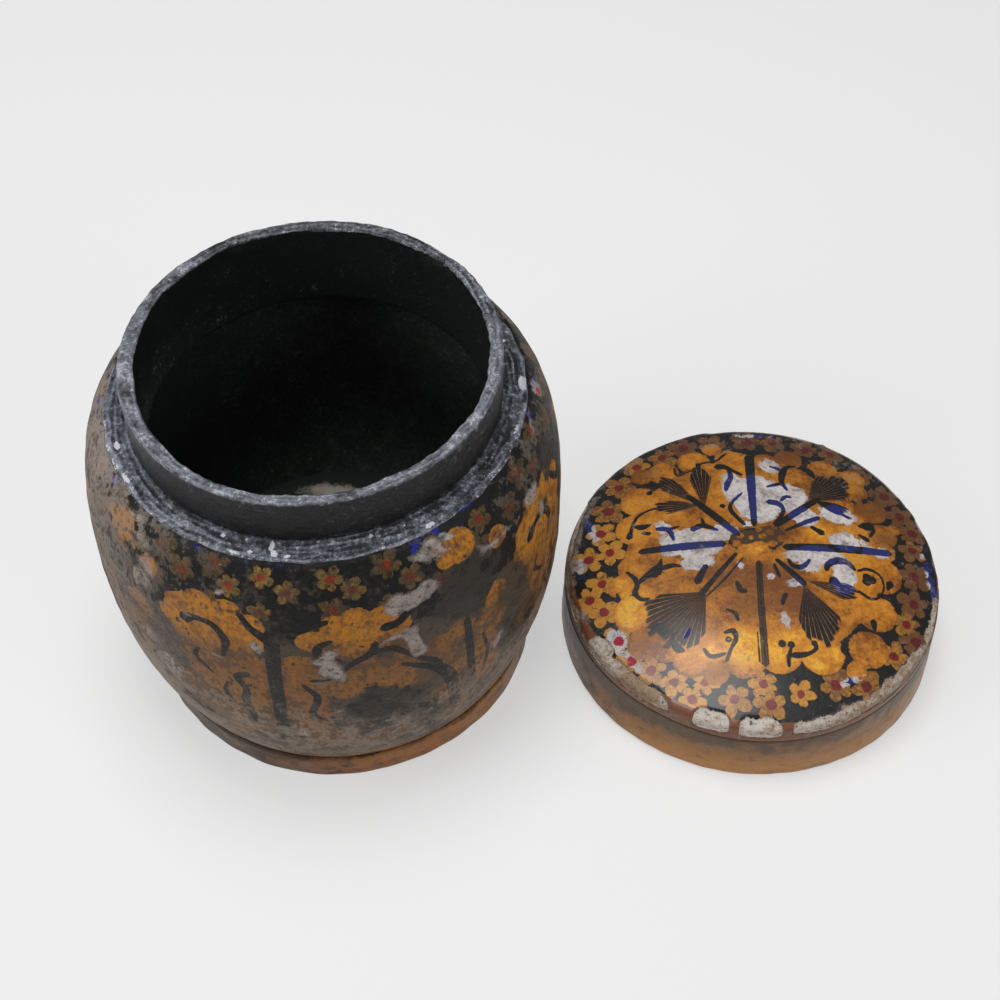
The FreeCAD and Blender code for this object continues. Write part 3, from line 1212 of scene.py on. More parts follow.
# Marks on the ledge, by millimetres round from the front and out from the axis
LEDGE_MARKS = (
    Patch((-11.0, 62.6), (0.8, 2.2), 8), Patch((-9.8, 64.9), (1.4, 0.9), 25),
    Patch((-5.4, 65.4), (0.9, 0.6)), Patch((21.6, 61.8), (0.8, 0.8)), Patch((128, 63.6), (0.8, 0.8)),
    Patch((-22, 66.7), (1.8, 0.5)), Patch((-17.4, 65.4), (1.0, 0.5)), Patch((33, 62.4), (0.5, 0.5)),
    Patch((40, 66.2), (1.6, 0.7)), Patch((-28, 62.2), (0.9, 0.7)), Patch((-20, 61.6), (0.6, 0.5)),
    Patch((108, 66.2), (3, 1.2)), Patch((-84, 64.5), (2, 1.0)), Patch((-70, 66.2), (3, 0.7)),
    Patch((88, 66.2), (2, 0.6)),
)

# The lid's top, by millimetres right of and behind its middle
LID_TOP = Ornament(
    lobes=(
        (0.5, 2.4, 45.4), (4.9, -39.5, 8.0), (19.5, -39.6, 8.0), (36.2, -37.9, 7.0), (41.0, -23.7, 7.2),
        (44.8, -7.7, 7.7), (47.0, 3.4, 5.0), (48.3, 10.6, 5.5), (46.1, 22.2, 5.8), (41.0, 38.0, 5.4),
        (42.0, 31.0, 4.4), (30.7, 42.0, 5.8), (18.5, 47.8, 5.2), (9.5, 46.0, 5.0), (0.0, 45.8, 6.0),
        (-3.6, 47.6, 5.6), (-17.1, 47.5, 6.2), (-28.8, 43.2, 5.8), (-36.8, 42.4, 4.2), (-38.7, 29.0, 7.2),
        (-41.2, 15.5, 7.2), (-40.0, 3.0, 6.0), (-41.8, -2.6, 7.0), (-47.6, -9.5, 5.0), (-44.0, -20.9, 7.4),
        (-41.4, -33.0, 6.0), (-34.0, -36.0, 5.0), (-25.2, -40.3, 7.0), (-16.2, -38.0, 6.0),
        (-7.2, -41.7, 7.2), (-17.6, -46.0, 4.6), (31.0, -46.0, 3.6), (53.2, 14.0, 2.4), (-9.6, 54.6, 3.6),
    ),
    strokes=(
        Stroke(((1.6, 13.6, 1.1), (2.6, 30.3, 1.6), (4.0, 49.4, 1.9))),
        Stroke(((1.2, -3.6, 1.1), (0.2, -21.3, 1.2), (-0.5, -44, 1.3)), 0.15),
        Stroke(((-2.2, -32, 0.25), (-2.4, -43, 0.35))),
        Stroke(((-10.5, 5.3, 1.5), (-23.7, 5.2, 1.7), (-40.0, 4.7, 1.3))),
        Stroke(((11.6, 3.0, 1.5), (29.7, 3.0, 1.8), (49.6, 2.8, 1.5))),
        Stroke(((-4.7, 9.3, 1.2), (-12.4, 18.6, 1.6), (-20.8, 29.0, 1.2))),
        Stroke(((-2.0, 14.0, 0.8), (-5.9, 20.4, 0.9), (-5.6, 24.4, 0.7), (-1.0, 29.7, 0.5))),
        Stroke(((9.6, 13.2, 1.2), (18.6, 20.2, 1.5), (26.9, 26.6, 1.2))),
        Stroke(((12.5, 10.6, 0.5), (19.8, 14.4, 1.0), (25.4, 17.0, 1.0))),
        Stroke(((-17.6, -4.0, 1.0), (-19.6, -7.6, 1.3), (-21.2, -10.8, 1.4))),
        Stroke(((-6.4, 0.6, 0.7), (-13.4, -7.6, 1.0), (-20.6, -16.2, 1.1))),
        Stroke(((-4.2, -1.4, 0.3), (-11.5, -10.2, 0.4), (-19.0, -17.4, 0.3))),
        Stroke(((7.7, -2.6, 0.8), (11.6, -7.2, 1.2), (16.4, -12.8, 1.3))),
        Stroke(((6.6, -4.6, 0.6), (7.8, -9.8, 0.8))), Stroke(((9.2, -17.2, 0.9), (7.7, -21.0, 0.8))),
        Stroke(((7.6, -44.8, 0.6), (7.9, -40.8, 0.9), (11.2, -40.7, 1.2), (15.4, -39.8, 0.8),
                (18.0, -37.6, 0.7), (17.0, -35.9, 1.3))),
        berry(6.0, -36.4, 0.9, 0.6), berry(9.1, -36.8, 0.8, 0.6),
        Stroke(((8.0, -40.8, 0.8), (9.3, -37.0, 0.5))),
        Stroke(((28.6, -34.2, 0.6), (26.8, -38.4, 0.7), (29.2, -41.2, 0.4))),
        Stroke(((26.9, -38.4, 0.5), (29.4, -38.0, 0.3))), Stroke(((39.3, -27.0, 1.4), (39.3, -30.6, 0.6))),
        Stroke(((36.5, -6.3, 0.5), (40.3, -5.2, 0.7), (44.5, -7.6, 0.5), (45.2, -12.6, 0.4),
                (43.1, -16.7, 0.4), (39.6, -17.8, 0.7), (35.4, -14.8, 0.6))),
        berry(39.6, -8.8, 1.0, 0.8), berry(41.2, -9.9, 1.0, 0.8), berry(39.2, -10.7, 1.0, 0.8),
        Stroke(((47.8, -10.6, 1.6), (46.4, -13.4, 0.6))),
        Stroke(((25.1, -6.6, 0.9), (26.4, -3.9, 1.3), (29.9, -2.4, 1.5), (33.4, -3.2, 1.2),
                (35.5, -6.0, 0.7))),
        Stroke(((25.8, -12.2, 0.7), (27.1, -10.4, 1.2), (29.2, -13.4, 1.2), (32.2, -14.2, 1.3))),
        Stroke(((11.9, -2.6, 0.6), (13.3, -5.3, 1.0), (16.7, -5.6, 1.1), (19.6, -2.6, 0.6))),
        Stroke(((-45.8, -3.4, 0.5), (-43.2, -6.3, 0.9), (-42.2, -9.4, 1.0), (-43.4, -12.8, 0.9),
                (-41.2, -15.6, 0.8), (-38.6, -15.8, 0.6))),
        Stroke(((-42.0, -9.0, 0.8), (-38.4, -6.0, 1.3), (-35.4, -4.6, 2.4), (-33.6, -1.6, 0.9),
                (-33.0, 0.6, 0.4))),
        Stroke(((-34.0, -3.6, 1.2), (-29.4, -2.8, 1.0), (-26.4, -3.4, 0.5))),
        Stroke(((-7.4, -11.6, 0.7), (-6.4, -15.0, 1.1), (-4.6, -15.6, 0.9))),
        Stroke(((-13.6, -31.8, 0.5), (-10.6, -31.2, 1.1), (-9.8, -34.2, 0.9), (-12.0, -38.2, 0.6),
                (-13.6, -42, 0.8))),
        berry(-12.4, -34.4, 0.8, 0.4),
        Stroke(((-21.2, -37.2, 0.5), (-18.9, -40.3, 0.8), (-14.0, -39.6, 0.6))),
        Stroke(((-31.6, -33.8, 1.0), (-29.8, -36.4, 1.5), (-27.8, -37.4, 0.5))),
        Stroke(((-12.0, -22.8, 0.5), (-9.2, -24.4, 0.8), (-8.4, -27.4, 0.5))),
        Stroke(((-43.7, 11.9, 1.3), (-42.7, 15.5, 0.7), (-41.4, 19.2, 0.7), (-39.6, 21.9, 0.6),
                (-35.6, 24.0, 0.5), (-31.3, 24.7, 0.5))),
        Stroke(((-41.6, 16.9, 0.7), (-38.7, 16.1, 1.4), (-35.4, 16.9, 0.4))),
        Stroke(((-38.6, 13.2, 0.8), (-36.4, 12.6, 0.9))),
        Stroke(((-35.0, 32.6, 1.2), (-33.6, 34.4, 0.6), (-31.4, 36.2, 0.4))),
        Stroke(((-24.6, 45.4, 0.4), (-23.9, 40.9, 0.5), (-20.8, 42.0, 0.4), (-16.0, 44.4, 0.5))),
        Stroke(((-15.8, 43.6, 0.8), (-14.9, 46.3, 0.6), (-12.1, 47.3, 0.5), (-8.4, 47.9, 0.5),
                (-6.0, 50.3, 0.6), (-4.2, 52.2, 0.3))),
        Stroke(((-8.6, 44.3, 1.7), (-6.0, 44.0, 1.3), (-3.5, 42.0, 0.9), (-0.2, 39.3, 0.8))),
        Stroke(((-4.6, 42.6, 0.8), (-4.2, 38.4, 1.0), (-5.9, 34.6, 1.2), (-6.8, 31.2, 0.7))),
        Stroke(((-20.9, 12.6, 1.2), (-17.1, 14.2, 1.2), (-12.0, 11.7, 0.6))),
        Stroke(((-17.2, 18.0, 0.4), (-16.4, 14.0, 0.9))),
        Stroke(((-33.6, 14.4, 0.9), (-29.6, 13.4, 1.1), (-27.9, 8.6, 0.6))),
        Stroke(((-29.4, 13.6, 0.8), (-25.5, 14.6, 0.4))), Stroke(((-9.2, 23.2, 1.2), (-8.4, 23.4, 0.9))),
        Stroke(((20.8, 44.4, 0.4), (17.3, 43.2, 1.0), (15.3, 40.0, 1.5), (14.4, 35.0, 1.0),
                (15.8, 30.8, 0.6))),
        Stroke(((14.4, 34.6, 0.9), (8.7, 32.7, 0.6))), Stroke(((11.2, 43.8, 0.5), (14.3, 42.2, 1.0))),
        Stroke(((24.2, 43.6, 0.7), (25.9, 40.7, 1.5), (27.0, 37.8, 0.6))),
        Stroke(((37.2, 39.0, 1.2), (36.2, 38.2, 0.7))), Stroke(((44.7, 27.7, 1.5), (43.8, 26.2, 0.7))),
        Stroke(((40.0, 14.2, 0.6), (43.3, 14.4, 2.2), (45.4, 13.0, 0.9), (43.4, 9.6, 0.6))),
        Stroke(((39.5, 10.0, 0.6), (42.4, 7.8, 1.1))), Stroke(((22.2, 12.6, 0.7), (25.8, 9.7, 1.4))),
        Stroke(((8.2, 24.8, 1.4), (11.5, 24.0, 1.3), (13.1, 20.8, 0.8), (11.4, 16.8, 0.8),
                (8.6, 14.0, 0.6))),
        Stroke(((12.8, 25.4, 0.7), (14.6, 27.4, 0.9), (16.6, 27.2, 0.6))),
        Stroke(((-53.0, -12.4, 0.5), (-49.4, -15.0, 1.0), (-49.6, -11.8, 0.4))),
    ),
    tufts=(
        Tuft((-15.6, 22.4), 90, 25, 30, 6, 0.46), Tuft((-17.6, 24.6), 131, 23, 30, 6, 0.46),
        Tuft((-16.8, 24.0), 176, 18, 36, 6, 0.46), Tuft((22.5, 25.4), 38, 21, 66, 12, 0.45),
        Tuft((24.0, 26.4), -28, 17, 34, 6, 0.8), Tuft((-18.6, -15.2), 221, 27, 88, 15, 0.43),
        Tuft((16.2, -13.4), -76, 25, 58, 11, 0.46), Tuft((17.4, -11.6), -16, 20, 30, 6, 0.46),
    ),
)
# The dark middle of the lid, and the gold beads of the rosette in it
LID_MIDDLE = (Patch((1.0, 6.2), (9.5, 5.6)), Patch((6.5, 8.0), (6.0, 5.0)))
LID_BEADS = (
    (-0.6, 0.8, 3.9), (2.4, 2.6, 3.2), (-3.4, 2.6, 2.0), (-9.6, 3.9, 1.6), (-5.9, 5.2, 1.6),
    (-0.2, 7.8, 1.0), (7.2, 4.6, 1.6), (9.7, 1.5, 1.5), (5.8, 0.8, 1.5), (-8.9, 9.0, 1.9),
    (-0.9, 13.8, 2.1), (3.8, 8.2, 1.4), (6.8, 9.8, 1.3), (10.6, 7.0, 1.6), (-4.0, 8.8, 1.4),
    (2.8, 11.4, 1.3), (8.8, 12.4, 1.3),
)
LID_FLOWERS = (
    (-54.4, -6.7), (-54.7, -18.5), (-50.2, -31.0), (-39.4, -43.1), (-31.8, -48.0), (-21.7, -49.4),
    (-12.3, -55.6), (-1.9, -50.6), (0.2, -58.0), (10.5, -54.9), (22.6, -51.4), (44.8, -40.0), (51.4, -27.1),
    (55.6, -18.5), (57.2, -6.3), (58.9, 5.5), (56.7, 21.5), (52.4, 31.1), (45.2, 40.6), (35.2, 52.3),
    (25.9, 54.0), (14.0, 58.2), (4.4, 58.6), (-9.6, 57.6), (-19.8, 56.8), (-28.6, 52.4), (-38.4, 48.0),
    (-45.8, 37.6), (-50.3, 26.6), (-54.1, 16.1), (-51.2, 6.2), (-58.4, 4.6), (-59.6, -12.6), (-46.0, -38.6),
    (-26.6, -54.6), (33.6, -51.8), (60.4, 13.6), (54.0, -33.4),
)
# Brown places of the lid's gold, and bright ones, most towards the front: real tone together with a painted
# highlight
LID_BROWN = (
    Patch((4, -14), (18, 11), -12), Patch((-6, -22), (10, 7)), Patch((12, -22), (8, 6)),
    Patch((12, 11), (7, 6)), Patch((-38, 43), (6, 5)), Patch((46, 24), (7, 8)), Patch((-41.6, -33), (7, 6)),
    Patch((-17, -46), (9, 4)), Patch((28, 33), (9, 7), 40), Patch((49, 9), (6, 5)),
    Patch((-14, -8), (6, 8), 40), Patch((18, 49), (6, 5)),
)
LID_BRIGHT_AND_HIGHLIGHT = (
    Patch((14, -39), (16, 9)), Patch((-44, -19), (8, 9)), Patch((-7, -38), (8, 9)),
    Patch((-49, -9), (5, 5)), Patch((24, 11), (5, 5)), Patch((-17, 48), (7, 6)), Patch((-24, -38), (9, 7)),
    Patch((0, 3), (10, 5)),
)
LID_LOSS = (
    Patch((4.3, 26.5), (9.5, 12)), Patch((10.6, 43.7), (3.4, 3.6)), Patch((15, 27.0), (8, 7)),
    Patch((-3.5, 32.5), (4.5, 8)), Patch((20.5, 17.5), (5, 4.6)), Patch((32.6, 18.8), (7, 4.2), -22),
    Patch((-22, 6.4), (11.5, 7)), Patch((-31.2, 14.9), (3, 3)), Patch((-20.3, -2.0), (6, 4)),
    Patch((-9.6, 12), (5, 3)), Patch((34.7, 6.2), (6.6, 4)), Patch((22, -0.5), (10, 4.2)),
    Patch((31.0, -9.5), (4.6, 6.6)), Patch((44.4, 2.6), (5.6, 2.4)), Patch((-51.0, -31.0), (4.2, 5)),
    Patch((13.6, -12.6), (2.4, 1.8)), Patch((8.2, -27.3), (1.2, 2.4), 20), Patch((5.0, -9.8), (1.5, 1.5)),
    Patch((-5.6, -4.6), (1.4, 1.4)), Patch((-0.7, 14.1), (2.3, 2.1)), Patch((-9.4, 8.6), (1.9, 1.9)),
    Patch((-57.6, 20), (1.6, 9), 18), Patch((63.4, -8), (1.2, 10), 4), Patch((-46, -39), (1.3, 6), 35),
    Patch((-26.4, -30.6), (1.2, 1.8), -30), Patch((27, -50.5), (5, 0.9), 25), Patch((6.5, 62.5), (6, 1.0)),
    Patch((-62, 2), (1.2, 5)), Patch((19, -5), (4, 3)),
)


# Pieces

def settle(mesh: bpy.types.Mesh, body: str, nodes: Sequence[str],
           finishes: Sequence[bpy.types.Material]) -> bpy.types.Object:
    """Put a finished mesh into the scene in place of its plain solids.

    Args:
        mesh: the piece.
        body: the body that it moves with.
        nodes: the solids that it replaces.
        finishes: its materials, in the order of the zones.
    Returns:
        The piece's object.
    """
    for finish in finishes:
        mesh.materials.append(finish)
    piece = bpy.data.objects.new(mesh.name, mesh)
    bpy.context.scene.collection.objects.link(piece)
    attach(piece, body)
    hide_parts(*nodes)
    LOG.info("%s: %d faces for %s", piece.name, len(mesh.polygons), ", ".join(nodes))
    return piece


class BarrelSkin:
    """The barrel's outside laid flat: millimetres round from the front's middle, and up along the skin."""

    def __init__(self, wall: Turned, belly: Pair, front: float) -> None:
        """Work out both lengths at every point.

        Args:
            wall: the barrel's grid.
            belly: radius and height at which lengths round are true and lengths up equal the height.
            front: angle of the front's middle, in degrees.
        """
        station = int(np.argmin(np.abs(wall.height[0] - belly[1])))
        skin = int((wall.zone == Zone.SKIN.value).sum())
        self.wall = wall
        self.across = (wall.angle - math.radians(front)) * belly[0]
        self.up = wall.along - wall.along[:, station:station + 1] + belly[1]
        self.true = wall.radius / belly[0]
        self.period = 2 * math.pi * belly[0]
        self.heights, self.lengths = wall.height[0, :skin].copy(), self.up[0, :skin].copy()

    def lay(self, rows: Sequence[Sequence[float]]) -> Array:
        """Turn the heights of some rows into lengths up the skin.

        Args:
            rows: each begins with a length round and a height.
        Returns:
            The rows, with the heights made lengths up.
        """
        laid = np.array(rows, float)
        laid[:, 1] = np.interp(laid[:, 1], self.heights, self.lengths)
        return laid

    def quarters(self) -> list[Pair]:
        """Where the middles of the four like quarters lie."""
        return [(turn * self.period / 4, 0.0) for turn in range(4)]

    def depth(self, patches: Sequence[Patch]) -> Array:
        """How far inside some patches each point lies, with their edges pulled out of shape.

        Args:
            patches: by length round and height, laid at the front and again at the back.
        Returns:
            One depth per point, in millimetres, negative outside.
        """
        middles = self.lay([patch.middle for patch in patches])
        laid = [Patch((x + side, y), patch.half, patch.turn)
                for (x, y), patch in zip(middles, patches) for side in (0.0, self.period / 2)]
        across = self.across + 3.0 * ripples(self.wall.angle, self.up, (6, 36), 14, 26, 16)
        up = self.up + 3.0 * ripples(self.wall.angle, self.up, (6, 36), 14, 27, 16)
        return patched(across, up, laid, self.period)


@dataclass
class Jar:
    """The barrel on its foot, with its floor and its collar. Sizes in millimetres."""

    body: str = "jar"
    waist_radius: float = 67.3
    belly_radius: float = 79.45
    shoulder_radius: float = 77.9
    ledge_radius: float = 67.6
    socket_radius: float = 58.65
    foot_height: float = 11.2
    belly_height: float = 72.0
    shoulder_height: float = 102.0
    ledge_height: float = 126.0
    socket_depth: float = 6.0
    shell_wall: float = 6.5
    waist_flare: float = 26.0
    shoulder_lean: float = -9.0
    ledge_slope: float = -50.0
    foot_radius: float = 69.1
    foot_bore: float = 58.0
    floor_radius: float = 63.0
    floor_height: float = 5.2
    rim_height: float = 143.2
    collar_radius: float = 60.0
    collar_bore: float = 56.0
    collar_tail: float = 110.0
    front: float = 270.0
    columns: int = 540
    foot_columns: int = 480
    floor_columns: int = 180
    collar_columns: int = 860
    foot_round: float = 1.5
    groove_round: float = 0.9
    ledge_round: float = 0.8
    rim_round: float = 0.9
    collar_step: float = 1.5
    tail_bevel: float = 1.5
    glue_line: float = 0.15
    lean_heights: Sequence[float] = (0, 20, 72, 102, 144)
    lean_offsets: Sequence[float] = (-0.3, -0.6, -0.1, 0.4, 0.6)
    flower_rows: Sequence[float] = (121.8, 116.6, 111.0)
    flowers_round: int = 25

    def leaned(self, skin: Turned) -> Turned:
        """Lean the axis a little to the right towards the shoulder, as the hand-made jar does."""
        skin.lean_x = skin.lean_x + np.interp(skin.height, self.lean_heights, self.lean_offsets)
        return skin

    def foot(self) -> bpy.types.Object:
        """The foot ring: a low band with worn corners and a rebate for the floor.

        Returns:
            The piece.
        """
        top, low, bore = self.foot_height, self.floor_height, self.foot_bore
        edge, inner = self.foot_radius, self.floor_radius + self.glue_line
        hem, groove = self.foot_round, self.groove_round
        band = Outline().add(corner((edge - hem, hem), hem, -90, 0, 6), Zone.SKIN)
        band.add(straight((edge, hem), (edge, top - groove), 10), Zone.SKIN)
        band.add(corner((edge - groove, top - groove), groove, 0, 90, 5), Zone.SKIN)
        band.add(straight((edge - groove, top), (inner, top), 4), Zone.SKIN)
        band.add(straight((inner, top), (inner, low), 4), Zone.SKIN)
        band.add(straight((inner, low), (bore, low), 4), Zone.SKIN)
        band.add(straight((bore, low), (bore, 0), 4), Zone.SKIN)
        band.add(straight((bore, 0), (edge - hem, 0), 6), Zone.SKIN)
        ring = self.leaned(Turned(band, self.foot_columns))
        outside = ramp(ring.radius, inner + 1.0, edge - 0.5)
        ring.radius = ring.radius + outside * (0.3 * ripples(ring.angle, ring.height, (2, 6), 60, 11) - 0.3)
        ring.radius = ring.radius + outside * 0.2 * ripples(ring.angle, ring.height, (14, 40), 9, 12)
        mesh = ring.mesh("foot")
        upper, under = ramp(ring.height, 8.0, 11.2), ramp(ring.height, 3.5, 0.5)
        left, right = swell(ring.angle, 225, 38), swell(ring.angle, 305, 40)
        # Darker towards the band's top, a painted shade in the groove under the barrel; also darker on the
        # left and at the bottom edge, lighter on the right.
        ring.mark(mesh, dirt=0.5 + 0.35 * upper + 0.4 * left - 0.6 * right + 0.3 * under,
                  rub=0.1 * under - 0.1, chip=-1.4 + 0.4 * under, glow=0.55 * right - 0.05)
        return settle(mesh, self.body, ["foot_ring"], [FOOT_BAND.material("foot varnish")])

    def floor(self) -> bpy.types.Object:
        """The floor disc inside the foot ring, flat, with the wash worn off in a crescent at the back.

        Returns:
            The piece.
        """
        top, low, edge = self.foot_height, self.floor_height, self.floor_radius
        disc = Outline().add(straight((0.0, low), (edge, low), 12), Zone.SKIN)
        disc.add(straight((edge, low), (edge, top), 4), Zone.SKIN)
        disc.end(straight((edge, top), (0.0, top), 40), Zone.SKIN)
        plate = self.leaned(Turned(disc, self.floor_columns, poles=True))
        across, deep = plate.radius * np.cos(plate.angle), plate.radius * np.sin(plate.angle)
        mesh = plate.mesh("floor")
        plate.mark(mesh, wear=1.3 * np.exp(-(((across + 8) / 13) ** 2) - ((deep - 51) / 4.0) ** 2) - 0.25)
        return settle(mesh, self.body, ["jar_floor"], [FLOOR_PAPER.material("floor wash")])

    def barrel_outline(self) -> Outline:
        """The barrel's wall: skin from the foot over belly and shoulder, ledge, socket, inside, bottom.

        Returns:
            The outline.
        """
        waist, belly = self.waist_radius, (self.belly_radius, self.belly_height)
        shoulder, ledge = (self.shoulder_radius, self.shoulder_height), self.ledge_height
        socket = (self.socket_radius, ledge - self.socket_depth)
        belly_in = (self.belly_radius - self.shell_wall, self.belly_height)
        shoulder_in = (self.shoulder_radius - self.shell_wall, self.shoulder_height)
        waist_in = (waist - self.shell_wall, self.foot_height)
        edge, worn = self.ledge_radius, self.ledge_round
        foot = (waist - 0.4, self.foot_height)
        rise = swept((waist + 0.6, self.foot_height + 0.5), self.waist_flare, belly, 0, 62)
        line = Outline().add(straight(foot, tuple(rise[0]), 3), Zone.SKIN)
        line.add(rise, Zone.SKIN).add(swept(belly, 0, shoulder, self.shoulder_lean, 32), Zone.SKIN)
        brink = (edge + 0.3, ledge - worn)
        line.add(swept(shoulder, self.shoulder_lean, brink, self.ledge_slope, 29), Zone.SKIN)
        line.add(corner((edge - 0.4, ledge - worn), worn, 30, 90, 4), Zone.LEDGE)
        line.add(straight((edge - 0.4, ledge), (self.socket_radius, ledge), 24), Zone.LEDGE)
        line.add(straight((self.socket_radius, ledge), socket, 3), Zone.INSIDE)
        line.add(swept(socket, 180 + self.ledge_slope, shoulder_in, 180 + self.shoulder_lean, 8), Zone.INSIDE)
        line.add(swept(shoulder_in, 180 + self.shoulder_lean, belly_in, 180, 6), Zone.INSIDE)
        line.add(swept(belly_in, 180, waist_in, 180 + self.waist_flare, 10), Zone.INSIDE)
        return line.add(straight(waist_in, foot, 3), Zone.INSIDE)

    def barrel(self) -> bpy.types.Object:
        """The barrel, both halves of its shell as one painted wall with hand-made unevenness.

        Returns:
            The piece.
        """
        wall = self.leaned(Turned(self.barrel_outline(), self.columns))
        unrolled = BarrelSkin(wall, (self.belly_radius, self.belly_height), self.front)
        ledge = wall.where(Zone.LEDGE)
        free = wall.where(Zone.SKIN) * ramp(wall.height, self.foot_height, 18.0)
        wall.radius = wall.radius + free * (0.12 * ripples(wall.angle, wall.height, (2, 7), 70, 21) - 0.08)
        wall.radius = wall.radius + 0.12 * free * ripples(wall.angle, wall.height, (18, 60), 9, 22, 12)
        outer = ledge * ramp(wall.radius, self.socket_radius + 1.5, self.ledge_radius - 1.0)
        streak = ripples(wall.angle, wall.radius, (2, 24), 1.5, 25, 24)
        clear = ledge * ramp(wall.radius, self.collar_radius + 0.4, self.collar_radius + 1.2)
        wall.height = wall.height + clear * (0.16 * streak - 0.3)
        ragged = ripples(wall.angle, wall.height, (5, 40), 40, 23, 12)
        wall.radius = wall.radius + outer * (0.45 * ragged - 0.3)
        crumbled = ripples(wall.angle, wall.radius, (6, 60), 7, 24, 14)
        wall.height = wall.height + outer * (0.3 * crumbled - 0.5)
        mesh = wall.mesh("barrel")
        self.paint_barrel(mesh, unrolled)
        self.wear_barrel(mesh, unrolled)
        self.wear_ledge(mesh, unrolled, streak)
        finishes = [BARREL_PAINT.material("barrel painting"), LEDGE_GROUND.material("ledge ground"),
                    LIGHTENED_HOLLOW_GROUND.material("barrel inside")]
        return settle(mesh, self.body, ["lower_shell", "upper_shell"], finishes)

    def paint_barrel(self, mesh: bpy.types.Mesh, skin: BarrelSkin) -> None:
        """Lay the ornament on the barrel: four like quarters under a band of rows of flowers.

        Args:
            mesh: of the barrel.
            skin: the barrel laid flat.
        """
        quarters = skin.quarters()
        lobes = skin.lay(QUARTER.lobes)
        lobes = np.concatenate([lobes + [middle, 0, 0] for middle, _ in quarters])
        skin.wall.mark(mesh, field=lobed(skin.across, skin.up, lobes, skin.period))
        drawn = [Stroke(tuple(map(tuple, skin.lay(stroke.points))), stroke.split)
                 for stroke in QUARTER.strokes]
        strokes = [(quarter, stroke) for stroke in drawn for quarter in quarters]
        tufts = [(quarter, tuft) for tuft in QUARTER.tufts for quarter in quarters]
        dice = np.random.default_rng(31)
        count = self.flowers_round
        rows = [np.column_stack([(np.arange(count) + 0.5 * row + 0.3) / count * skin.period,
                                 np.full(count, height)])
                for row, height in enumerate(self.flower_rows)]
        places = skin.lay(np.concatenate(rows))
        places = places + dice.uniform(-1.0, 1.0, places.shape) * (2.2, 1.3)
        canvas = Canvas.of(skin.wall, skin.across, skin.up, skin.true, skin.period)
        canvas.draw(mesh, places, dice, strokes, tufts)

    def wear_barrel(self, mesh: bpy.types.Mesh, skin: BarrelSkin) -> None:
        """Age the painting: grey on the left, towards the foot and on the right, rubbed and with a painted
        sheen, smeared dark in places, dull towards the foot, the gold brighter towards the shoulder with a
        painted highlight.

        Args:
            mesh: of the barrel.
            skin: the barrel laid flat.
        """
        wall = skin.wall
        low, left = ramp(wall.height, 84.0, 30.0), swell(wall.angle, 192, 44)
        far = swell(wall.angle, 60, 45)
        grime = np.clip(0.16 * skin.depth(BARREL_DIRT), 0.0, 0.8)
        right = swell(wall.angle, 350, 38)
        # Pale grey on the left, towards the foot and on the right is real rubbing together with a painted
        # sheen of the varnish; the gold is brighter towards the shoulder, partly a painted highlight, and
        # darker towards the foot.
        wall.mark(mesh, loss=skin.depth(BARREL_BLUE), bare=0.25 + 0.4 * left,
                  rub=0.85 * left + 0.6 * low + 0.35 * far + 0.22 * right + 0.06,
                  dirt=0.3 + grime - 0.45 * low - 0.25 * right, fade=0.25 + 0.3 * right,
                  glow=0.6 * ramp(wall.height, 84, 98) - 0.2 - 0.2 * low + 0.12 * right,
                  umber=1.1 * ramp(wall.height, 106, 94) - 0.25, band=-5.0)

    def wear_ledge(self, mesh: bpy.types.Mesh, skin: BarrelSkin, streak: Array) -> None:
        """Dust and grit on the ledge, white marks, a pale broken line at its edge, and the barrel's flakes;
        painted light on the ledge's left and at the back of the hollow, painted shade towards the hollow's
        bottom.

        Args:
            mesh: of the barrel.
            skin: the barrel laid flat.
            streak: the saw's marks, by point.
        """
        wall = skin.wall
        ledge, inside = wall.where(Zone.LEDGE), wall.where(Zone.INSIDE)
        edge = ramp(wall.radius, self.ledge_radius - 2.6, self.ledge_radius - 0.4)
        left = swell(wall.angle, 200, 50)
        deep = 0.8 * swell(wall.angle, 75, 55) - 0.05 - 0.1 * ramp(wall.height, 60.0, 20.0)
        apart = (np.degrees(wall.angle) - self.front + 180) % 360 - 180
        around = apart / 360 * 2 * math.pi * self.ledge_radius
        marks = np.maximum(2.2 * patched(around, wall.radius, LEDGE_MARKS), 1.3 * edge - 1.75 + 0.2 * left)
        flakes = np.maximum(skin.depth(BARREL_FLAKES), -4.0)
        # The ledge is made paler on its left, a painted light; inside, deep is painted light at the back of
        # the hollow and painted shade towards its bottom.
        wall.mark(mesh, wear=(0.42 + 0.2 * edge + 0.2 * left) * ledge + deep * inside, streak=streak * ledge,
                  stain=0.3 * edge * ledge - 0.5, chip=np.where(ledge > 0.5, marks, -3.0 * inside + flakes))

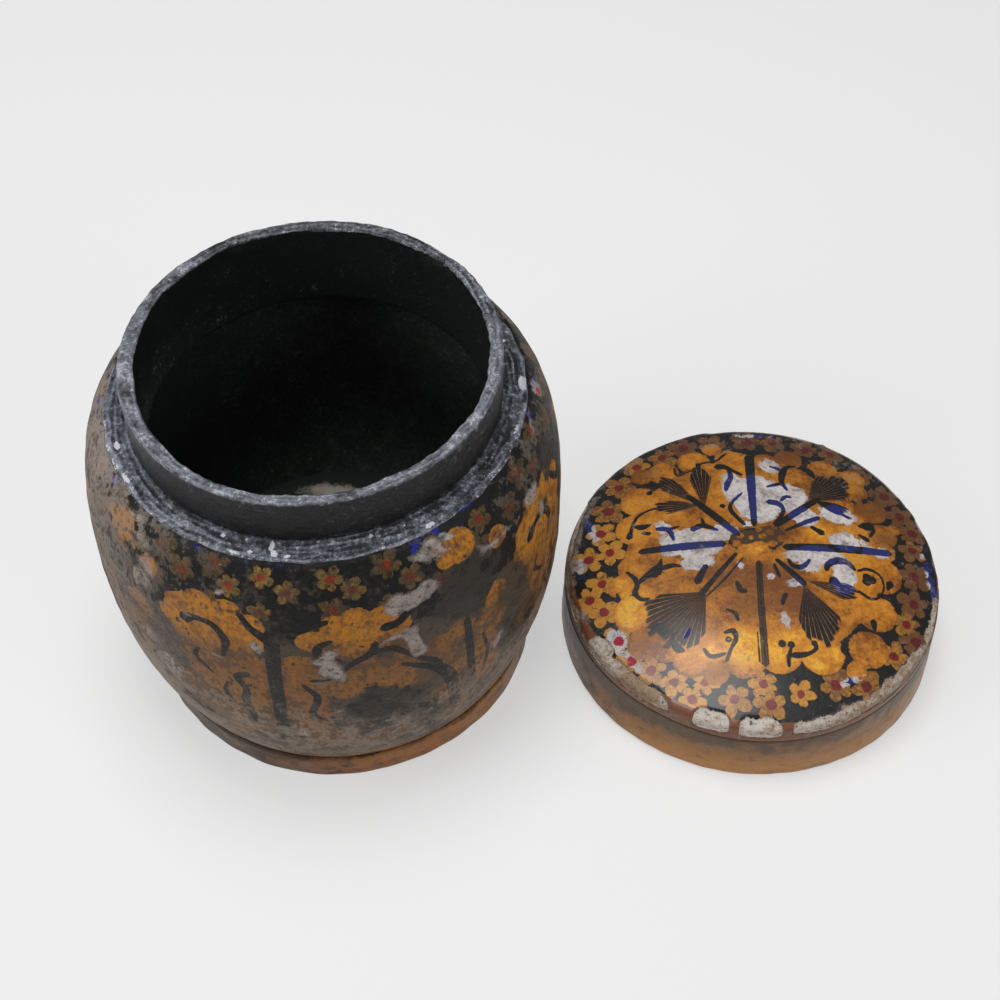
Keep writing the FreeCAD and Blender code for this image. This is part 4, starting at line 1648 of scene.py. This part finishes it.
    def collar(self) -> bpy.types.Object:
        """The collar: a rolled sleeve with an uneven, knocked rim.

        Returns:
            The piece.
        """
        top, low, tail, bevel = self.rim_height, self.ledge_height, self.collar_tail, self.tail_bevel
        edge, bore, worn = self.collar_radius, self.collar_bore, self.rim_round
        stem = edge - self.collar_step
        sleeve = Outline().add(straight((stem, tail), (stem, low), 8), Zone.INSIDE)
        sleeve.add(straight((stem, low), (edge, low), 3), Zone.SKIN)
        sleeve.add(straight((edge, low), (edge, top - worn), 24), Zone.SKIN)
        sleeve.add(corner((edge - worn, top - worn), worn, 0, 90, 6), Zone.SKIN)
        sleeve.add(straight((edge - worn, top), (bore + worn, top), 9), Zone.SKIN)
        sleeve.add(corner((bore + worn, top - worn), worn, 90, 180, 6), Zone.SKIN)
        sleeve.add(straight((bore, top - worn), (bore, tail + bevel), 26), Zone.INSIDE)
        sleeve.add(straight((bore, tail + bevel), (bore + bevel, tail), 3), Zone.INSIDE)
        sleeve.add(straight((bore + bevel, tail), (stem, tail), 3), Zone.INSIDE)
        ring = self.leaned(Turned(sleeve, self.collar_columns))
        turn = ring.angle
        free = ramp(ring.height, low + 1.0, top - 2.0)
        rim = ramp(ring.height, top - 3.5, top)
        inward = ramp(ring.radius, edge - 1.0, bore + 0.5)
        streak = ripples(turn, ring.along, (2, 30), 1.3, 45, 26)
        knock = swell(turn, 46, 7) + 0.5 * swell(turn, 118, 5)
        wide = 0.6 * swell(turn, 145, 40) + 0.6 * swell(turn, 40, 35)
        thin = 0.7 * swell(turn, 268, 55) - 1.3 * swell(turn, 192, 38) - 0.5 * swell(turn, 60, 70)
        thin = thin + 0.4 * ripples(turn, turn, (6, 30), UPRIGHT, 47)
        ring.radius = ring.radius + free * inward * thin
        ring.radius = ring.radius + free * (0.2 * ripples(turn, ring.height, (2, 5), 90, 41) + 0.1 + wide)
        ring.radius = ring.radius + free * 0.14 * ripples(turn, ring.height, (20, 90), 6, 42, 14)
        torn = 1.2 + 0.8 * ripples(turn, turn, (50, 140), 9, 46)
        ring.radius = ring.radius + rim * inward * knock * torn
        dip = swell(turn, 46, 5) - 0.4 * swell(turn, 100, 70) - 0.42 * swell(turn, 272, 45)
        ring.height = ring.height - rim * dip + rim * 0.22 * ripples(turn, ring.radius, (3, 14), 30, 43)
        grain = ripples(turn, ring.radius, (40, 120), 3, 44, 14)
        ring.height = ring.height + rim * (0.12 * streak + 0.1 * grain)
        mesh = ring.mesh("collar")
        skin = ring.where(Zone.SKIN)
        crest = ramp(ring.height, top - 1.3, top - 0.5) * skin
        # side lays dust at the collar's foot, and a paler grey on its left and right that is a painted sheen.
        side = 0.25 * swell(turn, 195, 45) * free + 0.3 * ramp(ring.height, low + 2.0, low)
        side = side + 0.3 * swell(turn, 350, 45) * free
        dusty = 0.52 + 0.3 * swell(turn, 275, 60)
        deep = 0.12 + 0.6 * swell(turn, 185, 50) * ramp(ring.height, 136, 114)
        ring.mark(mesh, wear=dusty * crest + side * skin + deep * (1.0 - skin), streak=streak * crest,
                  stain=-1.0, chip=-1.7 + 0.5 * crest + 1.1 * rim * knock * inward)
        finishes = [COLLAR_GROUND.material("collar ground"), INSIDE_GROUND.material("collar inside")]
        return settle(mesh, self.body, ["neck_collar"], finishes)

    def build(self) -> list[bpy.types.Object]:
        """All pieces of the jar, from the foot up."""
        return [self.foot(), self.floor(), self.barrel(), self.collar()]


@dataclass
class Lid:
    """The loose lid beside the jar: a plain band and a domed painted crown. Sizes in millimetres."""

    body: str = "lid"
    place: Pair = (149.0, -4.8)
    skirt_radius: float = 68.2
    skirt_top_radius: float = 67.5
    skirt_height: float = 21.6
    bore: float = 60.6
    crown_radius: float = 67.2
    crown_edge: float = 28.5
    crown_rise: float = 10.3
    crown_wall: float = 5.5
    edge_round: float = 2.2
    hem_round: float = 1.5
    groove_round: float = 0.9
    brow_drop: float = 1.6
    band_radius: float = 63.2
    columns: int = 640
    chip_floor: float = -4.0
    # First and last angle of each flaked stretch of the edge, and how far it reaches inwards
    chips: Sequence[tuple[float, float, float]] = (
        (205, 215, 5.6), (211, 239, 4.2), (246, 257.5, 5.2), (260, 273, 4.8), (276, 304, 2.8),
        (300, 330, 3.3), (330, 348, 2.4), (60, 100, 1.4), (100, 150, 0.8), (150, 176, 2.2), (176, 203, 1.0),
        (352, 420, 0.8),
    )

    def swerve(self, angle: Array) -> Array:
        """How far the hand-made lid leaves a true circle, by angle."""
        wave = 0.12 * ripples(angle, angle, (3, 9), UPRIGHT, 51)
        return wave - 0.9 * swell(angle, 240, 22) - 0.3 * swell(angle, 130, 20) + 1.3 * swell(angle, 55, 32)

    def skirt(self) -> bpy.types.Object:
        """The band that slips over the collar.

        Returns:
            The piece.
        """
        low, top, height, bore = self.skirt_radius, self.skirt_top_radius, self.skirt_height, self.bore
        hem, groove = self.hem_round, self.groove_round
        band = Outline().add(corner((low - hem, hem), hem, -90, 0, 6), Zone.SKIN)
        band.add(straight((low, hem), (top, height - groove), 24), Zone.SKIN)
        band.add(corner((top - groove, height - groove), groove, 0, 90, 5), Zone.SKIN)
        band.add(straight((top - groove, height), (bore, height), 5), Zone.SKIN)
        band.add(straight((bore, height), (bore, 0), 10), Zone.INSIDE)
        band.add(straight((bore, 0), (low - hem, 0), 6), Zone.INSIDE)
        ring = Turned(band, self.columns)
        outside = ramp(ring.radius, bore + 2.0, top - 0.5)
        pulled = 0.9 * swell(ring.angle, 232, 25) + 0.8 * swell(ring.angle, 310, 20)
        flare = ramp(ring.height, 15, 2) * pulled
        ring.radius = ring.radius + outside * (self.swerve(ring.angle) + flare)
        ring.radius = ring.radius + outside * 0.1 * ripples(ring.angle, ring.height, (16, 60), 8, 52, 12)
        mesh = ring.mesh("skirt", self.place)
        # Darker on the left, a painted shadow of the jar beside the lid, and darker towards the top; lighter
        # towards the bottom, partly a painted highlight.
        left, upper = swell(ring.angle, 200, 40), ramp(ring.height, 10, 19)
        ring.mark(mesh, dirt=0.18 + 0.45 * left + 0.6 * upper + 0.25 * swell(ring.angle, 330, 20),
                  rub=0.3 * ramp(ring.height, 2.5, 0.0) + 0.25 * swell(ring.angle, 205, 25) - 0.02,
                  chip=-2.4 + 1.4 * swell(ring.angle, 207, 14) * ramp(ring.height, 8, 16),
                  glow=0.5 * ramp(ring.height, 12, 4) - 0.15, wear=0.2, stain=-1.0, streak=0.0)
        finishes = [SKIRT_BAND.material("skirt varnish"), INSIDE_GROUND.material("skirt inside")]
        return settle(mesh, self.body, ["lid_skirt"], finishes)

    def crown_outline(self) -> Outline:
        """The crown's wall: hollow, bearing face, short side with worn corners, and the dome.

        Returns:
            The outline.
        """
        base, low, groove = self.skirt_top_radius, self.skirt_height, self.groove_round
        edge, top, bore = self.crown_edge, self.crown_edge + self.crown_rise, self.bore
        arc = (self.crown_radius**2 + self.crown_rise**2) / (2 * self.crown_rise)
        sunk = arc - math.sqrt(arc**2 - bore**2)
        hollow = dome(bore, top - self.crown_wall - sunk, sunk, 12)[::-1]
        rim, brow = self.crown_radius - self.edge_round, edge - self.brow_drop
        tilt = math.degrees(math.asin(rim / arc))
        shoulder = dome(self.crown_radius, edge, self.crown_rise, 400)
        start = shoulder[shoulder[:, 0] < rim - 0.3][0]
        arch = dome(float(start[0]), float(start[1]), top - float(start[1]), 88)
        cap = Outline().add(hollow, Zone.INSIDE)
        cap.add(straight(tuple(hollow[-1]), (bore, low), 5), Zone.INSIDE)
        cap.add(straight((bore, low), (base - groove, low), 5), Zone.INSIDE)
        cap.add(corner((base - groove, low + groove), groove, -90, 0, 5), Zone.SKIN)
        cap.add(straight((base, low + groove), (self.crown_radius, brow), 8), Zone.SKIN)
        cap.add(corner((rim, brow), self.edge_round, 0, 90 - tilt, 7), Zone.SKIN)
        return cap.end(arch, Zone.SKIN)

    def crown(self) -> bpy.types.Object:
        """The domed top with its short rim, chipped along its edge.

        Returns:
            The piece.
        """
        shell = Turned(self.crown_outline(), self.columns, poles=True)
        outer = shell.where(Zone.SKIN)
        shell.radius = shell.radius + outer * self.swerve(shell.angle) * ramp(shell.radius, 30, 66)
        across, deep = shell.radius * np.cos(shell.angle), shell.radius * np.sin(shell.angle)
        dent = ripples(across / 30, deep, (1, 3), 50, 61)
        shell.height = shell.height + outer * ramp(shell.radius, 62, 50) * (0.25 * dent - 0.25)
        chips = self.edge_chips(shell)
        hurt = ramp(chips, -0.4, 0.8) * outer
        shell.radius = shell.radius - 0.5 * hurt * ramp(shell.radius, 55, 66)
        shell.height = shell.height - 0.45 * hurt
        mesh = shell.mesh("crown", self.place)
        self.paint_crown(mesh, shell, across, deep)
        self.wear_crown(mesh, shell, across, deep, chips)
        finishes = [CROWN_PAINT.material("crown painting"), INSIDE_GROUND.material("crown inside")]
        return settle(mesh, self.body, ["lid_crown"], finishes)

    def edge_chips(self, shell: Turned) -> Array:
        """How far each spot lies inside the flaked stretches of the edge, in millimetres.

        Args:
            shell: the crown's grid.
        Returns:
            One depth per point, negative outside.
        """
        below = np.maximum(self.crown_edge - self.edge_round - shell.height, 0.0)
        inset = self.crown_radius - shell.radius + 2.5 * below
        depth = np.full_like(inset, self.chip_floor)
        for first, last, reach in self.chips:
            apart = np.abs((np.degrees(shell.angle) - (first + last) / 2 + 180.0) % 360.0 - 180.0)
            taper = np.sqrt(np.clip(1.0 - (2.0 * apart / (last - first)) ** 4, 0.0, 1.0))
            depth = np.maximum(depth, np.where(taper > 0.0, reach * taper - inset, self.chip_floor))
        return depth + 0.5 * ripples(shell.angle, shell.height, (8, 50), 14, 62, 14)

    def paint_crown(self, mesh: bpy.types.Mesh, shell: Turned, across: Array, deep: Array) -> None:
        """Lay the ornament on the crown: a lobed gold field with eight stems in a ring of flowers.

        Args:
            mesh: of the crown.
            shell: its grid.
            across: length of each point right of the middle, in millimetres.
            deep: length of each point behind the middle.
        """
        rim = np.hypot(across, deep) - self.band_radius - 3.0 * (1.0 - swell(shell.angle, 232, 55))
        middle = patched(across, deep, LID_MIDDLE)
        field = np.maximum(lobed(across, deep, LID_TOP.lobes), middle)
        field = np.minimum(field, lobed(across, deep, LID_BEADS))
        shell.mark(mesh, field=field, band=np.minimum(rim, 1.5), umber=np.clip(0.5 * middle + 0.5, 0.0, 1.0))
        dice = np.random.default_rng(71)
        strokes = [((0.0, 0.0), stroke) for stroke in LID_TOP.strokes]
        tufts = [((0.0, 0.0), tuft) for tuft in LID_TOP.tufts]
        Canvas.of(shell, across, deep, 1.0).draw(mesh, np.array(LID_FLOWERS), dice, strokes, tufts)

    def wear_crown(self, mesh: bpy.types.Mesh, shell: Turned, across: Array, deep: Array,
                   chips: Array) -> None:
        """Age the painting: varnish lost by the stems, brown in the middle, dull behind with a painted sheen,
        rubbed at the side, and a painted highlight in the gold towards the front.

        Args:
            mesh: of the crown.
            shell: its grid.
            across: length of each point right of the middle, in millimetres.
            deep: length of each point behind the middle.
            chips: how far each point lies inside the flaked edge.
        """
        turn, edge = shell.angle, self.crown_radius
        side = ramp(shell.height, self.crown_edge - 1.0, self.crown_edge - 3.0)
        back = swell(turn, 60, 60) * ramp(shell.radius, 44, 58)
        right = swell(turn, 350, 36) * ramp(shell.radius, 40, 55)
        brown = ramp(patched(across, deep, LID_BROWN), -5.0, 5.0)
        bright = ramp(patched(across, deep, LID_BRIGHT_AND_HIGHLIGHT), -2.0, 4.0)
        left = swell(turn, 190, 28)
        verge = swell(turn, 168, 34) * ramp(shell.radius, edge - 5.5, edge - 3.5)
        bare = 1.1 * swell(turn, 228, 11) + 0.85 * swell(turn, 312, 34) + 0.4 * left
        bare = bare + 0.6 * swell(turn, 90, 70)
        # Light painted into the crown: the gold is brighter on the bright patches and towards the front, a
        # painted highlight of the overhead lamp; behind, a pale grey is a painted sheen together with real
        # rubbing, and gold and flowers are duller there.
        shell.mark(mesh, loss=patched(across, deep, LID_LOSS), chip=chips, bare=bare,
                   rub=(0.35 + 0.5 * left) * side + 0.32 * back + 0.8 * verge,
                   dirt=0.3 * side + 0.3 * back - 0.05 + 0.45 * brown,
                   glow=0.32 * bright - 0.07 - 0.35 * brown + 0.06 * ramp(deep, 5, -35),
                   fade=1.1 * back + 0.5 * right - 0.1 - 0.7 * left, wear=0.2, stain=-1.0, streak=0.0)

    def build(self) -> list[bpy.types.Object]:
        """All pieces of the lid, from the table up."""
        return [self.skirt(), self.crown()]


@dataclass
class Studio:
    """A pale floor, soft light from above and the sides, and the camera. Metres and watts."""

    floor_size: float = 6.0
    floor_drop: float = 0.0002
    floor_colour: Colour = (0.80, 0.80, 0.80)
    backdrop: Colour = (0.839, 0.839, 0.839)
    floor_glow: float = 0.6
    camera_place: tuple[float, float, float] = (0.0586, -0.3697, 0.5349)
    camera_tilt: float = 0.6688
    camera_roll: float = -0.024
    lens: float = 62.0
    sensor: float = 36.0
    aim: tuple[float, float, float] = (0.07, 0.0, 0.06)
    world_strength: float = 0.2
    lamps: tuple[tuple[str, tuple[float, float, float], float, float], ...] = (
        ("overhead softbox", (0.0, 0.07, 1.1), 0.45, 7.5),
        ("left softbox", (-1.0, -0.35, 0.75), 0.7, 7.5),
        ("right softbox", (1.0, -0.7, 0.8), 0.7, 4.5),
    )

    def floor(self) -> bpy.types.Object:
        """The floor: a pale plane just under the object, lit and partly glowing for the camera alone.

        Returns:
            The plane.
        """
        half, low = self.floor_size / 2, -self.floor_drop
        mesh = bpy.data.meshes.new("studio_floor")
        corners = [(-half, -half, low), (half, -half, low), (half, half, low), (-half, half, low)]
        mesh.from_pydata(corners, [], [(0, 1, 2, 3)])
        g = Graph("floor paper")
        paper = g.node("ShaderNodeBsdfDiffuse", {}, {"Color": self.floor_colour})
        glow = g.node("ShaderNodeEmission", {}, {"Color": self.backdrop})
        seen = g.node("ShaderNodeLightPath", {}, {}, "Is Camera Ray")
        seen = seen.most(g.node("ShaderNodeLightPath", {}, {}, "Is Glossy Ray")) * self.floor_glow
        mesh.materials.append(g.close(g.node("ShaderNodeMixShader", {}, {0: seen, 1: paper, 2: glow})))
        plane = bpy.data.objects.new("studio_floor", mesh)
        bpy.context.scene.collection.objects.link(plane)
        return plane

    def light(self) -> None:
        """The world's even light and the softboxes, each aimed at the object's middle."""
        world = bpy.data.worlds.new("studio")
        world.use_nodes = True
        world.node_tree.nodes["Background"].inputs["Color"].default_value = (1.0, 1.0, 1.0, 1.0)
        world.node_tree.nodes["Background"].inputs["Strength"].default_value = self.world_strength
        bpy.context.scene.world = world
        for name, place, size, power in self.lamps:
            lamp = bpy.data.lights.new(name, "AREA")
            lamp.size, lamp.energy = size, power
            holder = bpy.data.objects.new(name, lamp)
            holder.location = place
            toward = Vector(self.aim) - Vector(place)
            holder.rotation_euler = toward.to_track_quat("-Z", "Y").to_euler()
            bpy.context.scene.collection.objects.link(holder)

    def camera(self) -> None:
        """The camera, looking down at the pair from the front."""
        lens = bpy.data.cameras.new("camera")
        lens.lens, lens.sensor_width = self.lens, self.sensor
        holder = bpy.data.objects.new("camera", lens)
        turn = Matrix.Rotation(self.camera_tilt, 4, "X") @ Matrix.Rotation(self.camera_roll, 4, "Z")
        holder.matrix_world = Matrix.Translation(self.camera_place) @ turn
        bpy.context.scene.collection.objects.link(holder)
        bpy.context.scene.camera = holder

    def build(self) -> None:
        """Set up floor, light, camera and plain colours."""
        self.floor()
        self.light()
        self.camera()
        bpy.context.scene.view_settings.view_transform = "Standard"


def main() -> None:
    """Build the jar, the lid and the studio, and report each piece."""
    logging.basicConfig(level=logging.INFO, format="%(message)s")
    Jar().build()
    Lid().build()
    Studio().build()


if __name__ == "__main__":
    main()
